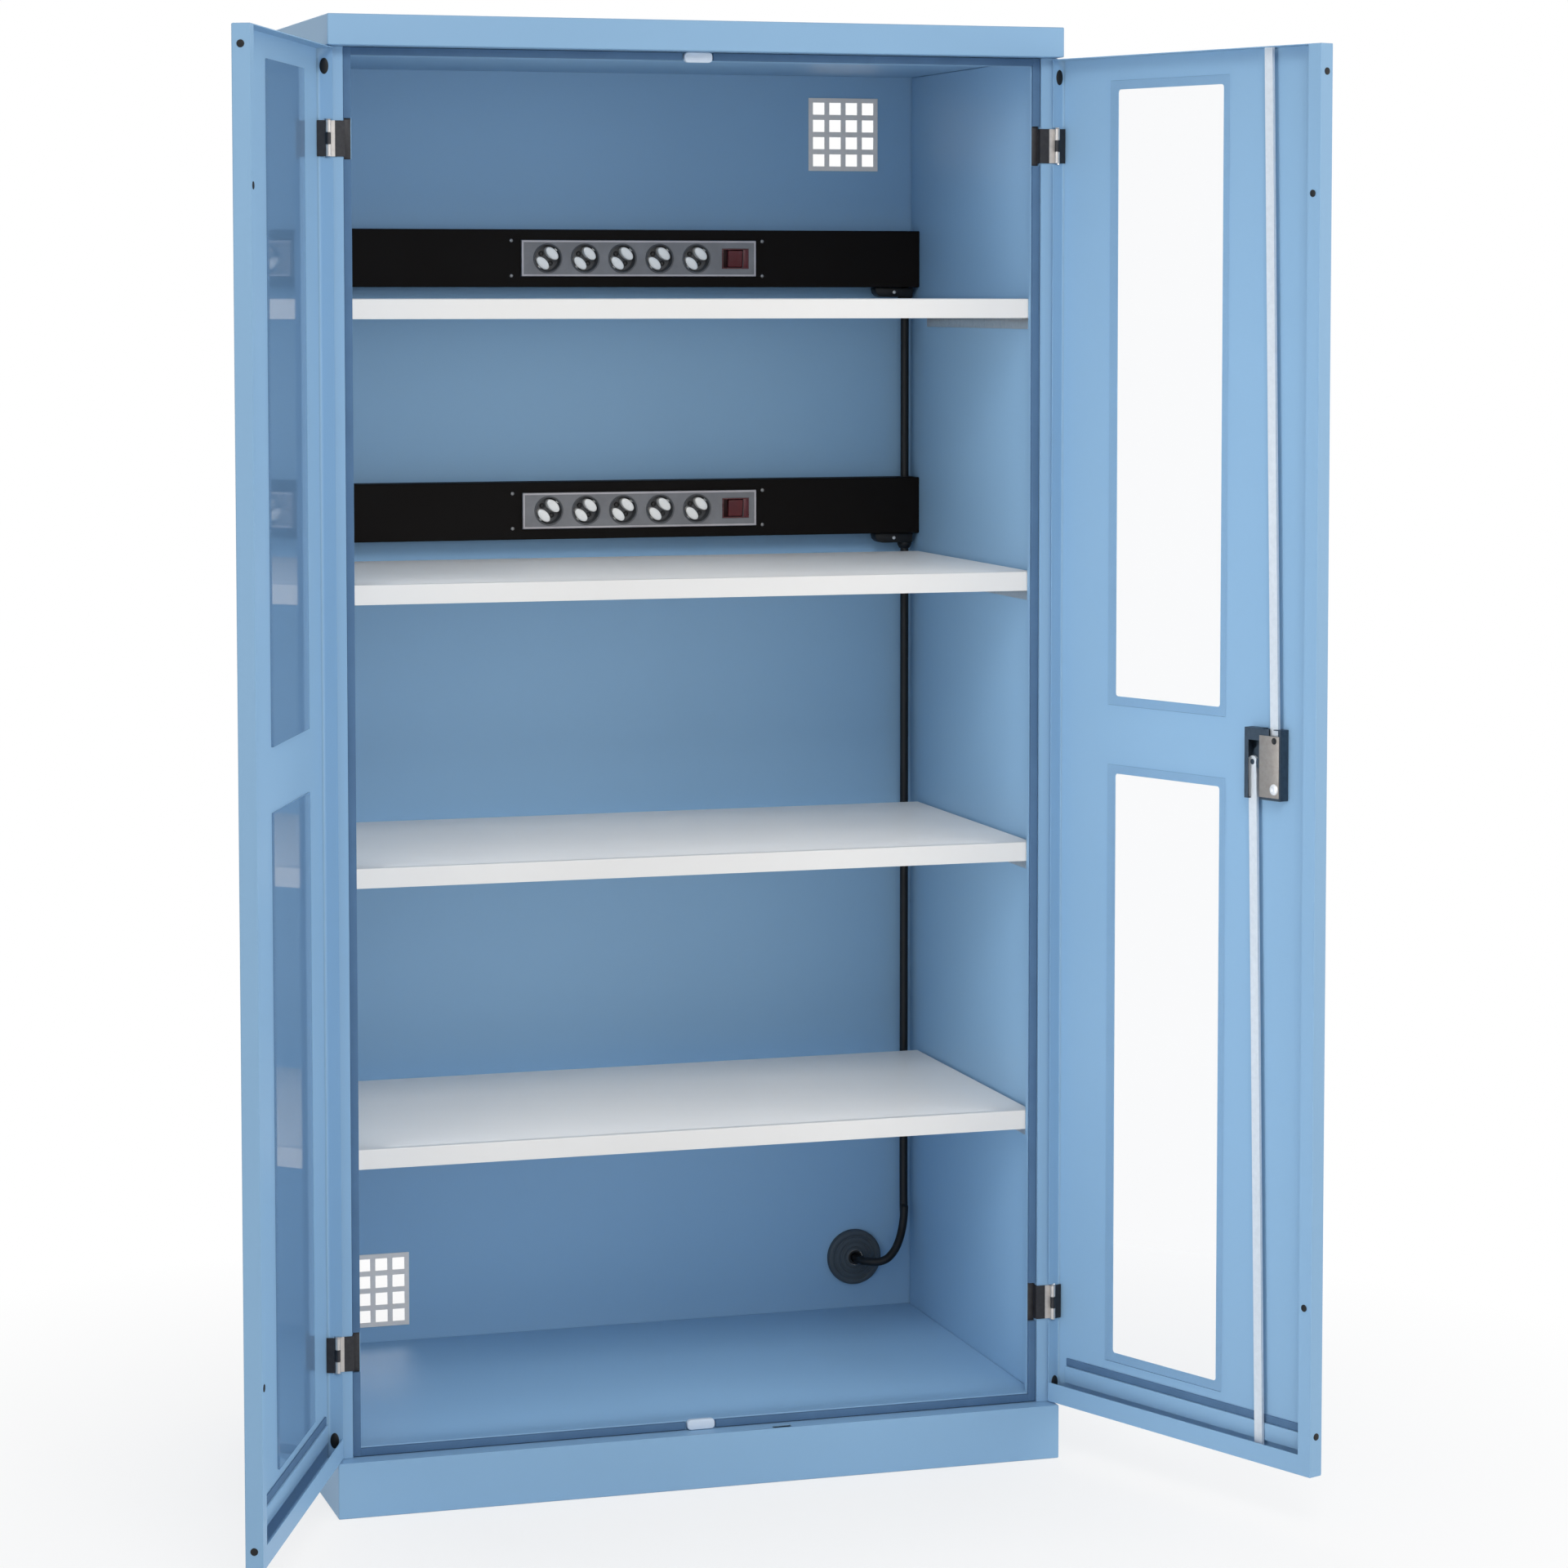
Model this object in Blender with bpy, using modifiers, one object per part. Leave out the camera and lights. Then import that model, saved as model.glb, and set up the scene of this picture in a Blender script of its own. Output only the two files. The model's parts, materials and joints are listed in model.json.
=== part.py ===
"""Battery charging cabinet: sheet-steel cabinet with two glazed doors, four shelves, two
switched power panels on the back wall, and a rod lock in the right door.

Metres, +Z up, front towards -Y. The origin is the middle of the plinth's front foot flange.
Both doors stand open, as they rest on their stops."""

import math

import bmesh
import bpy
from mathutils import Matrix, Vector

# Driving dimensions of the carcass
cabinet_width = 1.000
cabinet_depth = 0.580
cabinet_height = 1.950
plinth_height = 0.074
band_height = 0.040
side_sheet = 0.0015
liner_sheet = 0.0012
foot_flange = 0.030
post_width = 0.024
rebate_step = 0.008
rebate_strip = 0.012
rebate_return = 0.008
liner_offset = 0.022
back_flange = 0.020
deck_seat = 0.003

# Clearances and cut overrun
fit = 0.0003
door_gap = 0.002
door_seat = 0.0015
overrun = 0.004

# Doors
door_thickness = 0.022
door_sheet = 0.0012
free_lip = 0.022
bottom_lip = 0.026
open_angle = math.radians(112)
window_start = 0.103
window_width = 0.198
window_top_drop = 0.0855
window_above_lock = 0.065
window_below_lock = 0.0395
window_bottom_z = 0.1610
window_radius = 0.004
pane_thickness = 0.003
pane_overlap = 0.012
drain_half_width = 0.0045
drain_half_height = 0.009
drain_inset = 0.024
lip_hole_radius = 0.0045
upper_lip_hole_drop = 0.230
lower_lip_hole_z = 0.295

# Hinges
axis_inset = 0.0035
axis_setback = 0.0165
hinge_height = 0.046
upper_hinge_drop = 0.158
lower_hinge_z = 0.213
knuckle_radius = 0.0034
pin_radius = 0.0017
pin_head_height = 0.0015
leaf_sheet = 0.0016
leaf_tongue = 0.010
leaf_web = 0.0024
notch_depth = 0.012

# Shelves
shelf_count = 4
shelf_pitch = 0.370
top_shelf_drop = 0.363
shelf_back_gap = 0.0492
shelf_edge = 0.026
shelf_side_gap = 0.0035
rail_leg = 0.015
rail_sheet = 0.0015
rail_front_inset = 0.020
rail_back_inset = 0.030

# Power panels
upper_panel_drop = 0.347
panel_pitch = 0.360
panel_height = 0.082
panel_depth = 0.041
panel_sheet = 0.0015
strip_centre_x = 0.053
strip_width = 0.348
strip_height = 0.052
strip_depth = 0.028
strip_proud = 0.004
socket_pitch = 0.055
socket_count = 5
socket_start = 0.0385
socket_radius = 0.0195
socket_well = 0.014
rocker_from_right = 0.0315
rocker_width = 0.022
rocker_height = 0.024
rocker_thickness = 0.007
rocker_tilt = math.radians(8)

# Cable, glands and grommet
cable_radius = 0.006
cable_from_liner = 0.016
cable_from_back = 0.020
cable_bend_height = 0.1075
cable_bend_reach = 0.0285
cable_clip_drop = 0.523
cable_bend_shares = [(0.986, 0.228, 0.684), (0.903, 0.509, 0.414), (0.750, 0.825, 0.200), (0.556, 1.0, 0.060),
                     (0.361, 1.0, 0.005), (0.181, 0.860, 0.0), (0.056, 0.509, 0.0)]
gland_width = 0.060
gland_height = 0.014
gland_depth = 0.024
gland_right_margin = 0.009
gland_narrow_share = 0.35
grommet_inset = 0.110
grommet_z = 0.1625
grommet_radius = 0.041
grommet_thickness = 0.010
grommet_neck_radius = 0.034
cable_step = 0.026

# Vents
upper_vent_inset = 0.127
upper_vent_drop = 0.1245
lower_vent_inset = 0.163
lower_vent_z = 0.1615
vent_size = 0.106
vent_hole = 0.0175
vent_pitch = 0.025
vent_rows = 4
vent_sheet = 0.0012
vent_cutout_margin = 0.006

# Rod lock
lock_from_edge = 0.1035
lock_z = 0.990
case_width = 0.084
case_shift = 0.006
case_height = 0.100
case_depth = 0.0155
case_sheet = 0.0015
cam_radius = 0.027
cam_thickness = 0.003
cam_floor = 0.0025
cam_throw = 0.020
cam_pin_radius = 0.0035
hub_radius = 0.009
spindle_half = 0.004
rod_width = 0.014
rod_thickness = 0.004
rod_end_inset = 0.0005
rod_eye_margin = 0.001
rod_slot_play = 0.006
case_slot_play = 0.004
screw_radius = 0.0045
screw_height = 0.002
screw_inset = 0.018
keeper_play = 0.006
handle_length = 0.112
handle_width = 0.024
handle_thickness = 0.016
handle_standoff = 0.012
rose_radius = 0.028
rose_thickness = 0.006
cylinder_radius = 0.008
cylinder_length = 0.018
cylinder_proud = 0.001
keyway_width = 0.0022
keyway_height = 0.009
keyway_depth = 0.006

# Catches for the left door
catch_width = 0.038
catch_height = 0.0135
catch_x = -0.003

# Derived places
half_width = cabinet_width / 2
front_y = -foot_flange / 2
back_y = front_y + cabinet_depth
band_z = cabinet_height - band_height
post_y = front_y + door_thickness + door_seat
strip_y = post_y + rebate_step
post_x = half_width - post_width
strip_x = post_x - rebate_strip
deck_z = plinth_height + rebate_strip
liner_x = half_width - liner_offset
liner_front_y = strip_y + rebate_return + door_seat
wall_y = back_y - side_sheet
door_bottom = plinth_height + door_gap
door_top = band_z - door_gap
axis_x = half_width - axis_inset
axis_y = front_y + axis_setback
door_hinge_x = half_width - fit
door_free_x = door_gap
upper_hinge_z = cabinet_height - upper_hinge_drop
lock_u = axis_x - door_free_x - lock_from_edge
shelf_low_y = liner_front_y + fit
shelf_high_y = wall_y - shelf_back_gap
upper_vent_x = half_width - upper_vent_inset
upper_vent_z = cabinet_height - upper_vent_drop
lower_vent_x = lower_vent_inset - half_width
cable_x = liner_x - cable_from_liner
cable_y = wall_y - cable_from_back
grommet_x = half_width - grommet_inset
upper_panel_z = cabinet_height - upper_panel_drop
lower_panel_z = upper_panel_z - panel_pitch
sides = {"left": -1, "right": 1}


def clear_scene():
    for old in list(bpy.data.objects):
        bpy.data.objects.remove(old, do_unlink=True)


def new_collection(name, hidden=False):
    collection = bpy.data.collections.new(name)
    bpy.context.scene.collection.children.link(collection)
    collection.hide_render = hidden
    return collection


def paint(name, color, roughness, metallic=0.0, alpha=1.0):
    material = bpy.data.materials.new(name)
    material.use_nodes = True
    shader = material.node_tree.nodes["Principled BSDF"]
    shader.inputs["Base Color"].default_value = (*color, 1)
    shader.inputs["Roughness"].default_value = roughness
    shader.inputs["Metallic"].default_value = metallic
    shader.inputs["Alpha"].default_value = alpha
    return material


clear_scene()
cabinet = new_collection("battery_charging_cabinet")
cutters = new_collection("cutters", hidden=True)

blue_paint = paint("blue_paint", (0.235, 0.420, 0.665), 0.42)
white_paint = paint("white_paint", (0.78, 0.78, 0.76), 0.45)
black_paint = paint("black_paint", (0.012, 0.012, 0.014), 0.40)
black_plastic = paint("black_plastic", (0.020, 0.020, 0.022), 0.50)
zinc_steel = paint("zinc_steel", (0.62, 0.64, 0.66), 0.35, 1.0)
clear_glass = paint("clear_glass", (0.95, 0.97, 0.97), 0.05, 0.0, 0.2)
grey_plastic = paint("grey_plastic", (0.42, 0.42, 0.43), 0.45)
white_plastic = paint("white_plastic", (0.85, 0.86, 0.86), 0.40)
red_plastic = paint("red_plastic", (0.32, 0.015, 0.02), 0.30)
black_rubber = paint("black_rubber", (0.015, 0.017, 0.020), 0.60)
grey_rubber = paint("grey_rubber", (0.045, 0.055, 0.065), 0.65)
zinc_grille = paint("zinc_grille", (0.66, 0.65, 0.62), 0.45, 0.6)


def place(name, mesh, material=None, parent=None):
    """An object of the cabinet, or a hidden cutter where no material is given."""
    piece = bpy.data.objects.new(name, mesh)
    if material:
        mesh.materials.append(material)
        cabinet.objects.link(piece)
    else:
        cutters.objects.link(piece)
        piece.hide_render = True
        piece.display_type = "WIRE"
    piece.parent = parent
    return piece


def mesh_from(bm, name):
    mesh = bpy.data.meshes.new(name)
    bmesh.ops.recalc_face_normals(bm, faces=bm.faces)
    bm.to_mesh(mesh)
    bm.free()
    return mesh


def box(name, low, high, material=None, parent=None):
    low, high = Vector(map(min, low, high)), Vector(map(max, low, high))
    bm = bmesh.new()
    bmesh.ops.create_cube(bm, size=1)
    bmesh.ops.scale(bm, vec=high - low, verts=bm.verts)
    bmesh.ops.translate(bm, vec=(low + high) / 2, verts=bm.verts)
    return place(name, mesh_from(bm, name), material, parent)


def cylinder(name, start, end, radius, material=None, parent=None, segments=24, stretch=(1, 1)):
    """A round bar from start to end, with its cross-section stretched along its own X and Y."""
    start, end = Vector(start), Vector(end)
    bm = bmesh.new()
    bmesh.ops.create_cone(bm, cap_ends=True, segments=segments, radius1=radius, radius2=radius,
                          depth=(end - start).length)
    bmesh.ops.scale(bm, vec=(stretch[0], stretch[1], 1), verts=bm.verts)
    turn = (end - start).to_track_quat("Z", "Y").to_matrix().to_4x4()
    bmesh.ops.transform(bm, matrix=Matrix.Translation((start + end) / 2) @ turn, verts=bm.verts)
    mesh = mesh_from(bm, name)
    mesh.shade_smooth()
    mesh.set_sharp_from_angle(angle=math.radians(40))
    return place(name, mesh, material, parent)


def combine(target, tool, operation="DIFFERENCE"):
    modifier = target.modifiers.new(tool.name, "BOOLEAN")
    modifier.operation = operation
    modifier.object = tool
    modifier.solver = "EXACT"


def cut_box(target, label, low, high):
    combine(target, box(f"{target.name}_{label}", low, high, None, target.parent))


def join_box(target, label, low, high):
    combine(target, box(f"{target.name}_{label}", low, high, None, target.parent), "UNION")


def cut_round(target, label, start, end, radius, segments=24, stretch=(1, 1)):
    tool = cylinder(f"{target.name}_{label}", start, end, radius, None, target.parent, segments, stretch)
    combine(target, tool)


def join_round(target, label, start, end, radius, segments=24):
    tool = cylinder(f"{target.name}_{label}", start, end, radius, None, target.parent, segments)
    combine(target, tool, "UNION")


def folded_sheet(name, profile, low_z, high_z, thickness, inward, material):
    """A sheet bent along a plan profile, as an open surface with its thickness laid inwards."""
    bm = bmesh.new()
    corners = [bm.verts.new((x, y, low_z)) for x, y in profile]
    edges = [bm.edges.new(pair) for pair in zip(corners, corners[1:])]
    raised = bmesh.ops.extrude_edge_only(bm, edges=edges)["geom"]
    top = [item for item in raised if isinstance(item, bmesh.types.BMVert)]
    bmesh.ops.translate(bm, vec=(0, 0, high_z - low_z), verts=top)
    mesh = bpy.data.meshes.new(name)
    bm.to_mesh(mesh)
    bm.free()
    piece = place(name, mesh, material)
    wall = piece.modifiers.new("thickness", "SOLIDIFY")
    wall.thickness = thickness
    wall.offset = inward
    wall.use_even_offset = True
    return piece


def make_plinth():
    wall = side_sheet
    top = plinth_height - fit
    plinth = box("plinth", (-half_width, front_y, 0), (half_width, back_y, top), blue_paint)
    cut_box(plinth, "hollow", (-half_width + wall, front_y + wall, wall),
            (half_width - wall, back_y - wall, top - wall))
    inner_x = half_width - foot_flange
    cut_box(plinth, "under", (-inner_x, front_y + foot_flange, -overrun),
            (inner_x, back_y - foot_flange, wall + overrun))
    cut_box(plinth, "over", (-inner_x, strip_y + deck_seat, top - wall - overrun),
            (inner_x, back_y - foot_flange, top + overrun))
    cut_keeper(plinth, top)


def cut_keeper(target, z):
    """The slot that a lock rod slides into when the right door is closed."""
    centre_x = axis_x - lock_u
    centre_y = front_y + door_sheet + cam_floor + cam_thickness + fit + rod_thickness / 2
    half_x = rod_width / 2 + keeper_play
    half_y = rod_thickness / 2 + keeper_play / 2
    cut_box(target, "keeper", (centre_x - half_x, centre_y - half_y, z - overrun),
            (centre_x + half_x, centre_y + half_y, z + overrun))


def make_deck():
    deck = box("floor_deck", (-liner_x + fit, strip_y, plinth_height),
               (liner_x - fit, wall_y - fit, deck_z), blue_paint)
    inner = liner_x - fit - liner_sheet
    cut_box(deck, "underside", (-inner, strip_y + liner_sheet, plinth_height - overrun),
            (inner, wall_y - fit - liner_sheet, deck_z - liner_sheet))
    for label, side in sides.items():
        cut_box(deck, f"{label}_corner", (side * (post_x - fit), strip_y - overrun, plinth_height - overrun),
                (side * half_width, liner_front_y, deck_z + overrun))


def make_roof():
    wall = side_sheet
    roof = box("roof", (-half_width, front_y, band_z),
               (half_width, wall_y - fit, cabinet_height), blue_paint)
    cut_box(roof, "hollow", (-half_width + wall, front_y + wall, band_z + wall),
            (half_width - wall, back_y + overrun, cabinet_height - wall))
    join_box(roof, "rebate", (-post_x + fit, strip_y, band_z - rebate_strip),
             (post_x - fit, strip_y + wall, band_z + wall / 2))
    cut_keeper(roof, band_z)


def make_side(label):
    side = sides[label]
    back = wall_y - fit
    profile = [(half_width - back_flange, back), (half_width, back), (half_width, post_y), (post_x, post_y),
               (post_x, strip_y), (strip_x, strip_y), (strip_x, strip_y + rebate_return)]
    low, high = plinth_height, band_z - fit
    panel = folded_sheet(f"{label}_side_panel", [(side * x, y) for x, y in profile], low, high,
                         side_sheet, -side, blue_paint)
    reach = strip_y + rebate_return + overrun
    cut_box(panel, "deck_corner", (side * (strip_x - overrun), strip_y - fit, low - overrun),
            (side * post_x, reach, deck_z + fit))
    cut_box(panel, "roof_corner", (side * (strip_x - overrun), strip_y - fit, band_z - rebate_strip - fit),
            (side * post_x, reach, high + overrun))
    for end, z in (("upper", upper_hinge_z), ("lower", lower_hinge_z)):
        half = hinge_height / 2 + door_gap
        cut_box(panel, f"{end}_hinge_slot",
                (side * (strip_x + rebate_return / 4), strip_y - overrun, z - half),
                (side * (post_x - fit), strip_y + side_sheet + overrun, z + half))


def make_liner(label):
    side = sides[label]
    inner, outer = liner_x, half_width - side_sheet - fit
    low_y, high_y = liner_front_y, wall_y - side_sheet - 2 * fit
    liner = box(f"{label}_inner_wall", (side * inner, low_y, plinth_height),
                (side * outer, high_y, band_z - fit), blue_paint)
    cut_box(liner, "hollow",
            (side * (inner + liner_sheet), low_y + liner_sheet, plinth_height + liner_sheet),
            (side * (outer + overrun), high_y - liner_sheet, band_z - fit - liner_sheet))


def make_back():
    back = box("back_panel", (-half_width, wall_y, plinth_height),
               (half_width, back_y, cabinet_height), blue_paint)
    half = vent_size / 2 - vent_cutout_margin
    for label, x, z in (("upper", upper_vent_x, upper_vent_z), ("lower", lower_vent_x, lower_vent_z)):
        cut_box(back, f"{label}_vent", (x - half, wall_y - overrun, z - half),
                (x + half, back_y + overrun, z + half))
    cut_round(back, "cable_entry", (grommet_x, wall_y - overrun, grommet_z),
              (grommet_x, back_y + overrun, grommet_z), grommet_neck_radius + fit)


def make_vent(label, x, z):
    high = wall_y - fit
    low = high - vent_sheet
    half = vent_size / 2
    grille = box(f"{label}_vent_grille", (x - half, low, z - half),
                 (x + half, high, z + half), zinc_grille)
    first = -(vent_rows - 1) / 2 * vent_pitch
    reach = vent_hole / 2
    for row in range(vent_rows):
        for column in range(vent_rows):
            cx, cz = x + first + column * vent_pitch, z + first + row * vent_pitch
            cut_box(grille, f"hole_{row}_{column}", (cx - reach, low - overrun, cz - reach),
                    (cx + reach, high + overrun, cz + reach))


def make_shelf(number, top):
    half = liner_x - shelf_side_gap
    shelf = box(f"shelf_{number}", (-half, shelf_low_y, top - shelf_edge),
                (half, shelf_high_y, top), white_paint)
    wall = liner_sheet
    cut_box(shelf, "underside", (-half + wall, shelf_low_y + wall, top - shelf_edge - overrun),
            (half - wall, shelf_high_y - wall, top - wall))
    for label in sides:
        make_rail(number, label, top - shelf_edge - fit)


def make_rail(number, label, top):
    """An angle on the inner wall that the shelf's folded edge rests on."""
    side = sides[label]
    outer = liner_x - fit
    low_y, high_y = shelf_low_y + rail_front_inset, shelf_high_y - rail_back_inset
    rail = box(f"shelf_{number}_{label}_rail", (side * (outer - rail_leg), low_y, top - rail_leg),
               (side * outer, high_y, top), zinc_steel)
    cut_box(rail, "corner",
            (side * (outer - rail_leg - overrun), low_y - overrun, top - rail_leg - overrun),
            (side * (outer - rail_sheet), high_y + overrun, top - rail_sheet))


def door_frame(label):
    """An empty on the hinge axis, turned to the open position, that carries everything on the door."""
    frame = bpy.data.objects.new(f"{label}_door_axis", None)
    cabinet.objects.link(frame)
    frame.location = (sides[label] * axis_x, axis_y, 0)
    frame.rotation_euler = (0, 0, sides[label] * open_angle)
    return frame


def door_point(label, u, y, z):
    """A point of the closed door in its frame: u runs from the hinge axis to the free edge."""
    return (-sides[label] * u, y - axis_y, z)


def make_door(label, frame):
    hinge_u, free_u = axis_x - door_hinge_x, axis_x - door_free_x
    inner_y = front_y + door_thickness
    sheet = door_sheet
    at = lambda u, y, z: door_point(label, u, y, z)
    door = box(f"{label}_door", at(hinge_u, front_y, door_bottom), at(free_u, inner_y, door_top),
               blue_paint, frame)
    cut_box(door, "tray", at(hinge_u + sheet, front_y + sheet, door_bottom + sheet),
            at(free_u - sheet, inner_y - sheet, door_top - sheet))
    cut_box(door, "mouth", at(hinge_u + sheet, inner_y - sheet - overrun / 2, door_bottom + bottom_lip),
            at(free_u - free_lip, inner_y + overrun, door_top - sheet))
    for end, low, high in windows():
        cut_window(door, end, label, low, high)
    for end, z in (("upper", upper_hinge_z), ("lower", lower_hinge_z)):
        half = hinge_height / 2 + door_gap
        cut_box(door, f"{end}_notch", at(hinge_u - overrun, inner_y - notch_depth, z - half),
                at(hinge_u + sheet + overrun / 4, inner_y + overrun, z + half))
    middle_y = (front_y + inner_y) / 2
    stretch = (1, drain_half_height / drain_half_width)
    for end, z in (("top", door_top - drain_inset), ("bottom", door_bottom + drain_inset)):
        cut_round(door, f"{end}_drain", at(hinge_u - overrun, middle_y, z),
                  at(hinge_u + overrun, middle_y, z), drain_half_width, 16, stretch)
    lip_u = free_u - free_lip / 2
    for end, z in (("upper", cabinet_height - upper_lip_hole_drop), ("lower", lower_lip_hole_z)):
        cut_round(door, f"{end}_lip_hole", at(lip_u, inner_y - overrun, z),
                  at(lip_u, inner_y + overrun, z), lip_hole_radius, 12)
    return door


def windows():
    return (("upper", lock_z + window_above_lock, cabinet_height - window_top_drop),
            ("lower", window_bottom_z, lock_z - window_below_lock))


def cut_window(door, end, label, low, high):
    near, far = window_start, window_start + window_width
    tool = box(f"{door.name}_{end}_window", door_point(label, near, front_y - overrun, low),
               door_point(label, far, front_y + door_sheet + overrun, high), None, door.parent)
    bm = bmesh.new()
    bm.from_mesh(tool.data)
    corners = [edge for edge in bm.edges if edge.verts[0].co.y != edge.verts[1].co.y]
    bmesh.ops.bevel(bm, geom=corners, offset=window_radius, segments=3, profile=0.5, affect="EDGES")
    bm.to_mesh(tool.data)
    bm.free()
    combine(door, tool)


def make_panes(label, frame):
    low_y = front_y + door_sheet + fit
    for end, low, high in windows():
        box(f"{label}_door_{end}_pane",
            door_point(label, window_start - pane_overlap, low_y, low - pane_overlap),
            door_point(label, window_start + window_width + pane_overlap, low_y + pane_thickness,
                       high + pane_overlap),
            clear_glass, frame)


def make_hinge(label, end, z, frame):
    """A frame leaf on the post, a door leaf in the tray, and the pin through their knuckles."""
    side = sides[label]
    third = hinge_height / 3
    low, high = z - hinge_height / 2, z + hinge_height / 2
    name = f"{label}_{end}_hinge"
    bore = pin_radius + fit

    leaf_front = post_y - fit - leaf_sheet
    frame_leaf = box(f"{name}_frame_leaf", (side * (post_x - fit - leaf_sheet), leaf_front, low),
                     (side * (axis_x - fit), post_y - fit, high), zinc_steel)
    join_box(frame_leaf, "tongue", (side * (post_x - fit - leaf_sheet), leaf_front, low),
             (side * (post_x - fit), strip_y + leaf_tongue, high))
    join_box(frame_leaf, "web", (side * (axis_x - leaf_web), axis_y, low + fit),
             (side * (axis_x - 2 * fit), leaf_front + leaf_sheet / 2, high - fit))
    join_round(frame_leaf, "knuckle", (side * axis_x, axis_y, low), (side * axis_x, axis_y, high),
               knuckle_radius, 16)
    room = knuckle_radius + fit
    cut_box(frame_leaf, "gap", (side * (axis_x - room), axis_y - room, low + third - fit),
            (side * (axis_x + room), leaf_front - fit, high - third + fit))
    cut_round(frame_leaf, "bore", (side * axis_x, axis_y, low - overrun),
              (side * axis_x, axis_y, high + overrun), bore, 12)

    at = lambda u, y, height: door_point(label, u, y, height)
    flange_u = axis_x - door_hinge_x + door_sheet + fit
    leaf_back = axis_y - room
    door_leaf = box(f"{name}_door_leaf", at(flange_u, front_y + door_sheet + fit, low),
                    at(flange_u + leaf_sheet, leaf_back, high), zinc_steel, frame)
    join_box(door_leaf, "web", at(flange_u, leaf_back - leaf_sheet, low + third + fit),
             at(flange_u + knuckle_radius / 2, axis_y, high - third - fit))
    join_round(door_leaf, "knuckle", at(0, axis_y, low + third + fit), at(0, axis_y, high - third - fit),
               knuckle_radius, 16)
    cut_round(door_leaf, "bore", at(0, axis_y, low - overrun), at(0, axis_y, high + overrun), bore, 12)

    pin = cylinder(f"{name}_pin", (side * axis_x, axis_y, low),
                   (side * axis_x, axis_y, high + pin_head_height / 2), pin_radius, zinc_steel, None, 12)
    join_round(pin, "head", (side * axis_x, axis_y, high + fit),
               (side * axis_x, axis_y, high + pin_head_height), knuckle_radius - fit, 16)


def make_lock(frame):
    """The rod lock inside the right door. The cam stands unlocked, with its throw level."""
    label = "right"
    at = lambda u, y, z: door_point(label, u, y, z)
    skin = front_y + door_sheet
    cam_low = skin + cam_floor
    cam_high = cam_low + cam_thickness
    rod_low = cam_high + fit
    rod_high = rod_low + rod_thickness
    case_face = skin + fit + case_depth

    near_u = lock_u + case_shift - case_width / 2
    far_u = near_u + case_width
    low_z, high_z = lock_z - case_height / 2, lock_z + case_height / 2
    case = box("lock_case", at(near_u, skin + fit, low_z), at(far_u, case_face, high_z), zinc_steel, frame)
    cut_box(case, "hollow", at(near_u + case_sheet, skin - overrun, low_z + case_sheet),
            at(far_u - case_sheet, case_face - case_sheet, high_z - case_sheet))
    cut_box(case, "rod_window",
            at(near_u + case_sheet, case_face - case_sheet - overrun, low_z - overrun),
            at(lock_u - hub_radius, case_face + overrun, lock_z + hub_radius * 2))
    join_round(case, "screw", at(far_u - screw_inset, case_face - case_sheet / 2, low_z + screw_inset),
               at(far_u - screw_inset, case_face + screw_height, low_z + screw_inset), screw_radius, 16)
    reach = rod_width / 2 + case_slot_play
    for end, sign in (("upper", 1), ("lower", -1)):
        edge = lock_z + sign * case_height / 2
        outer = lock_u + sign * (cam_throw + reach)
        inner = lock_u - sign * reach
        cut_box(case, f"{end}_slot", at(inner, rod_low - cam_floor, edge - sign * overrun),
                at(outer, rod_high + cam_floor, edge + sign * overrun))
    cut_round(case, "window", at(lock_u, case_face - case_sheet - overrun, lock_z),
              at(lock_u, case_face + overrun, lock_z), hub_radius + cam_floor)

    lock_axis = bpy.data.objects.new("lock_axis", None)
    cabinet.objects.link(lock_axis)
    lock_axis.parent = frame
    lock_axis.location = at(lock_u, axis_y, lock_z)

    cam = cylinder("rod_cam", (0, cam_low - axis_y, 0), (0, cam_high - axis_y, 0), cam_radius,
                   zinc_steel, lock_axis, 32)
    root_y = cam_high - axis_y - cam_thickness / 2
    join_round(cam, "hub", (0, root_y, 0), (0, case_face - axis_y, 0), hub_radius)
    for end, sign in (("upper", 1), ("lower", -1)):
        pin_x = -sign * cam_throw
        join_round(cam, f"{end}_pin", (pin_x, root_y, 0),
                   (pin_x, rod_high + rod_end_inset - axis_y, 0), cam_pin_radius, 16)
    hole = spindle_half + fit
    cut_box(cam, "square", (-hole, cam_low - axis_y - overrun, -hole),
            (hole, case_face - axis_y + overrun, hole))

    for end, sign in (("upper", 1), ("lower", -1)):
        make_rod(end, sign, lock_axis, rod_low - axis_y, rod_high - axis_y)

    make_handle(frame, lock_axis, at, case_face)
    door = bpy.data.objects["right_door"]
    reach = rod_width / 2 + rod_slot_play
    cut_round(door, "spindle_hole", at(lock_u, front_y - overrun, lock_z),
              at(lock_u, skin + overrun, lock_z), spindle_half * 2)
    for end, z in (("upper", door_top), ("lower", door_bottom)):
        cut_box(door, f"{end}_rod_slot", at(lock_u - reach, rod_low - keeper_play / 2, z - overrun),
                at(lock_u + reach, rod_high + keeper_play / 2, z + overrun))


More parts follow.
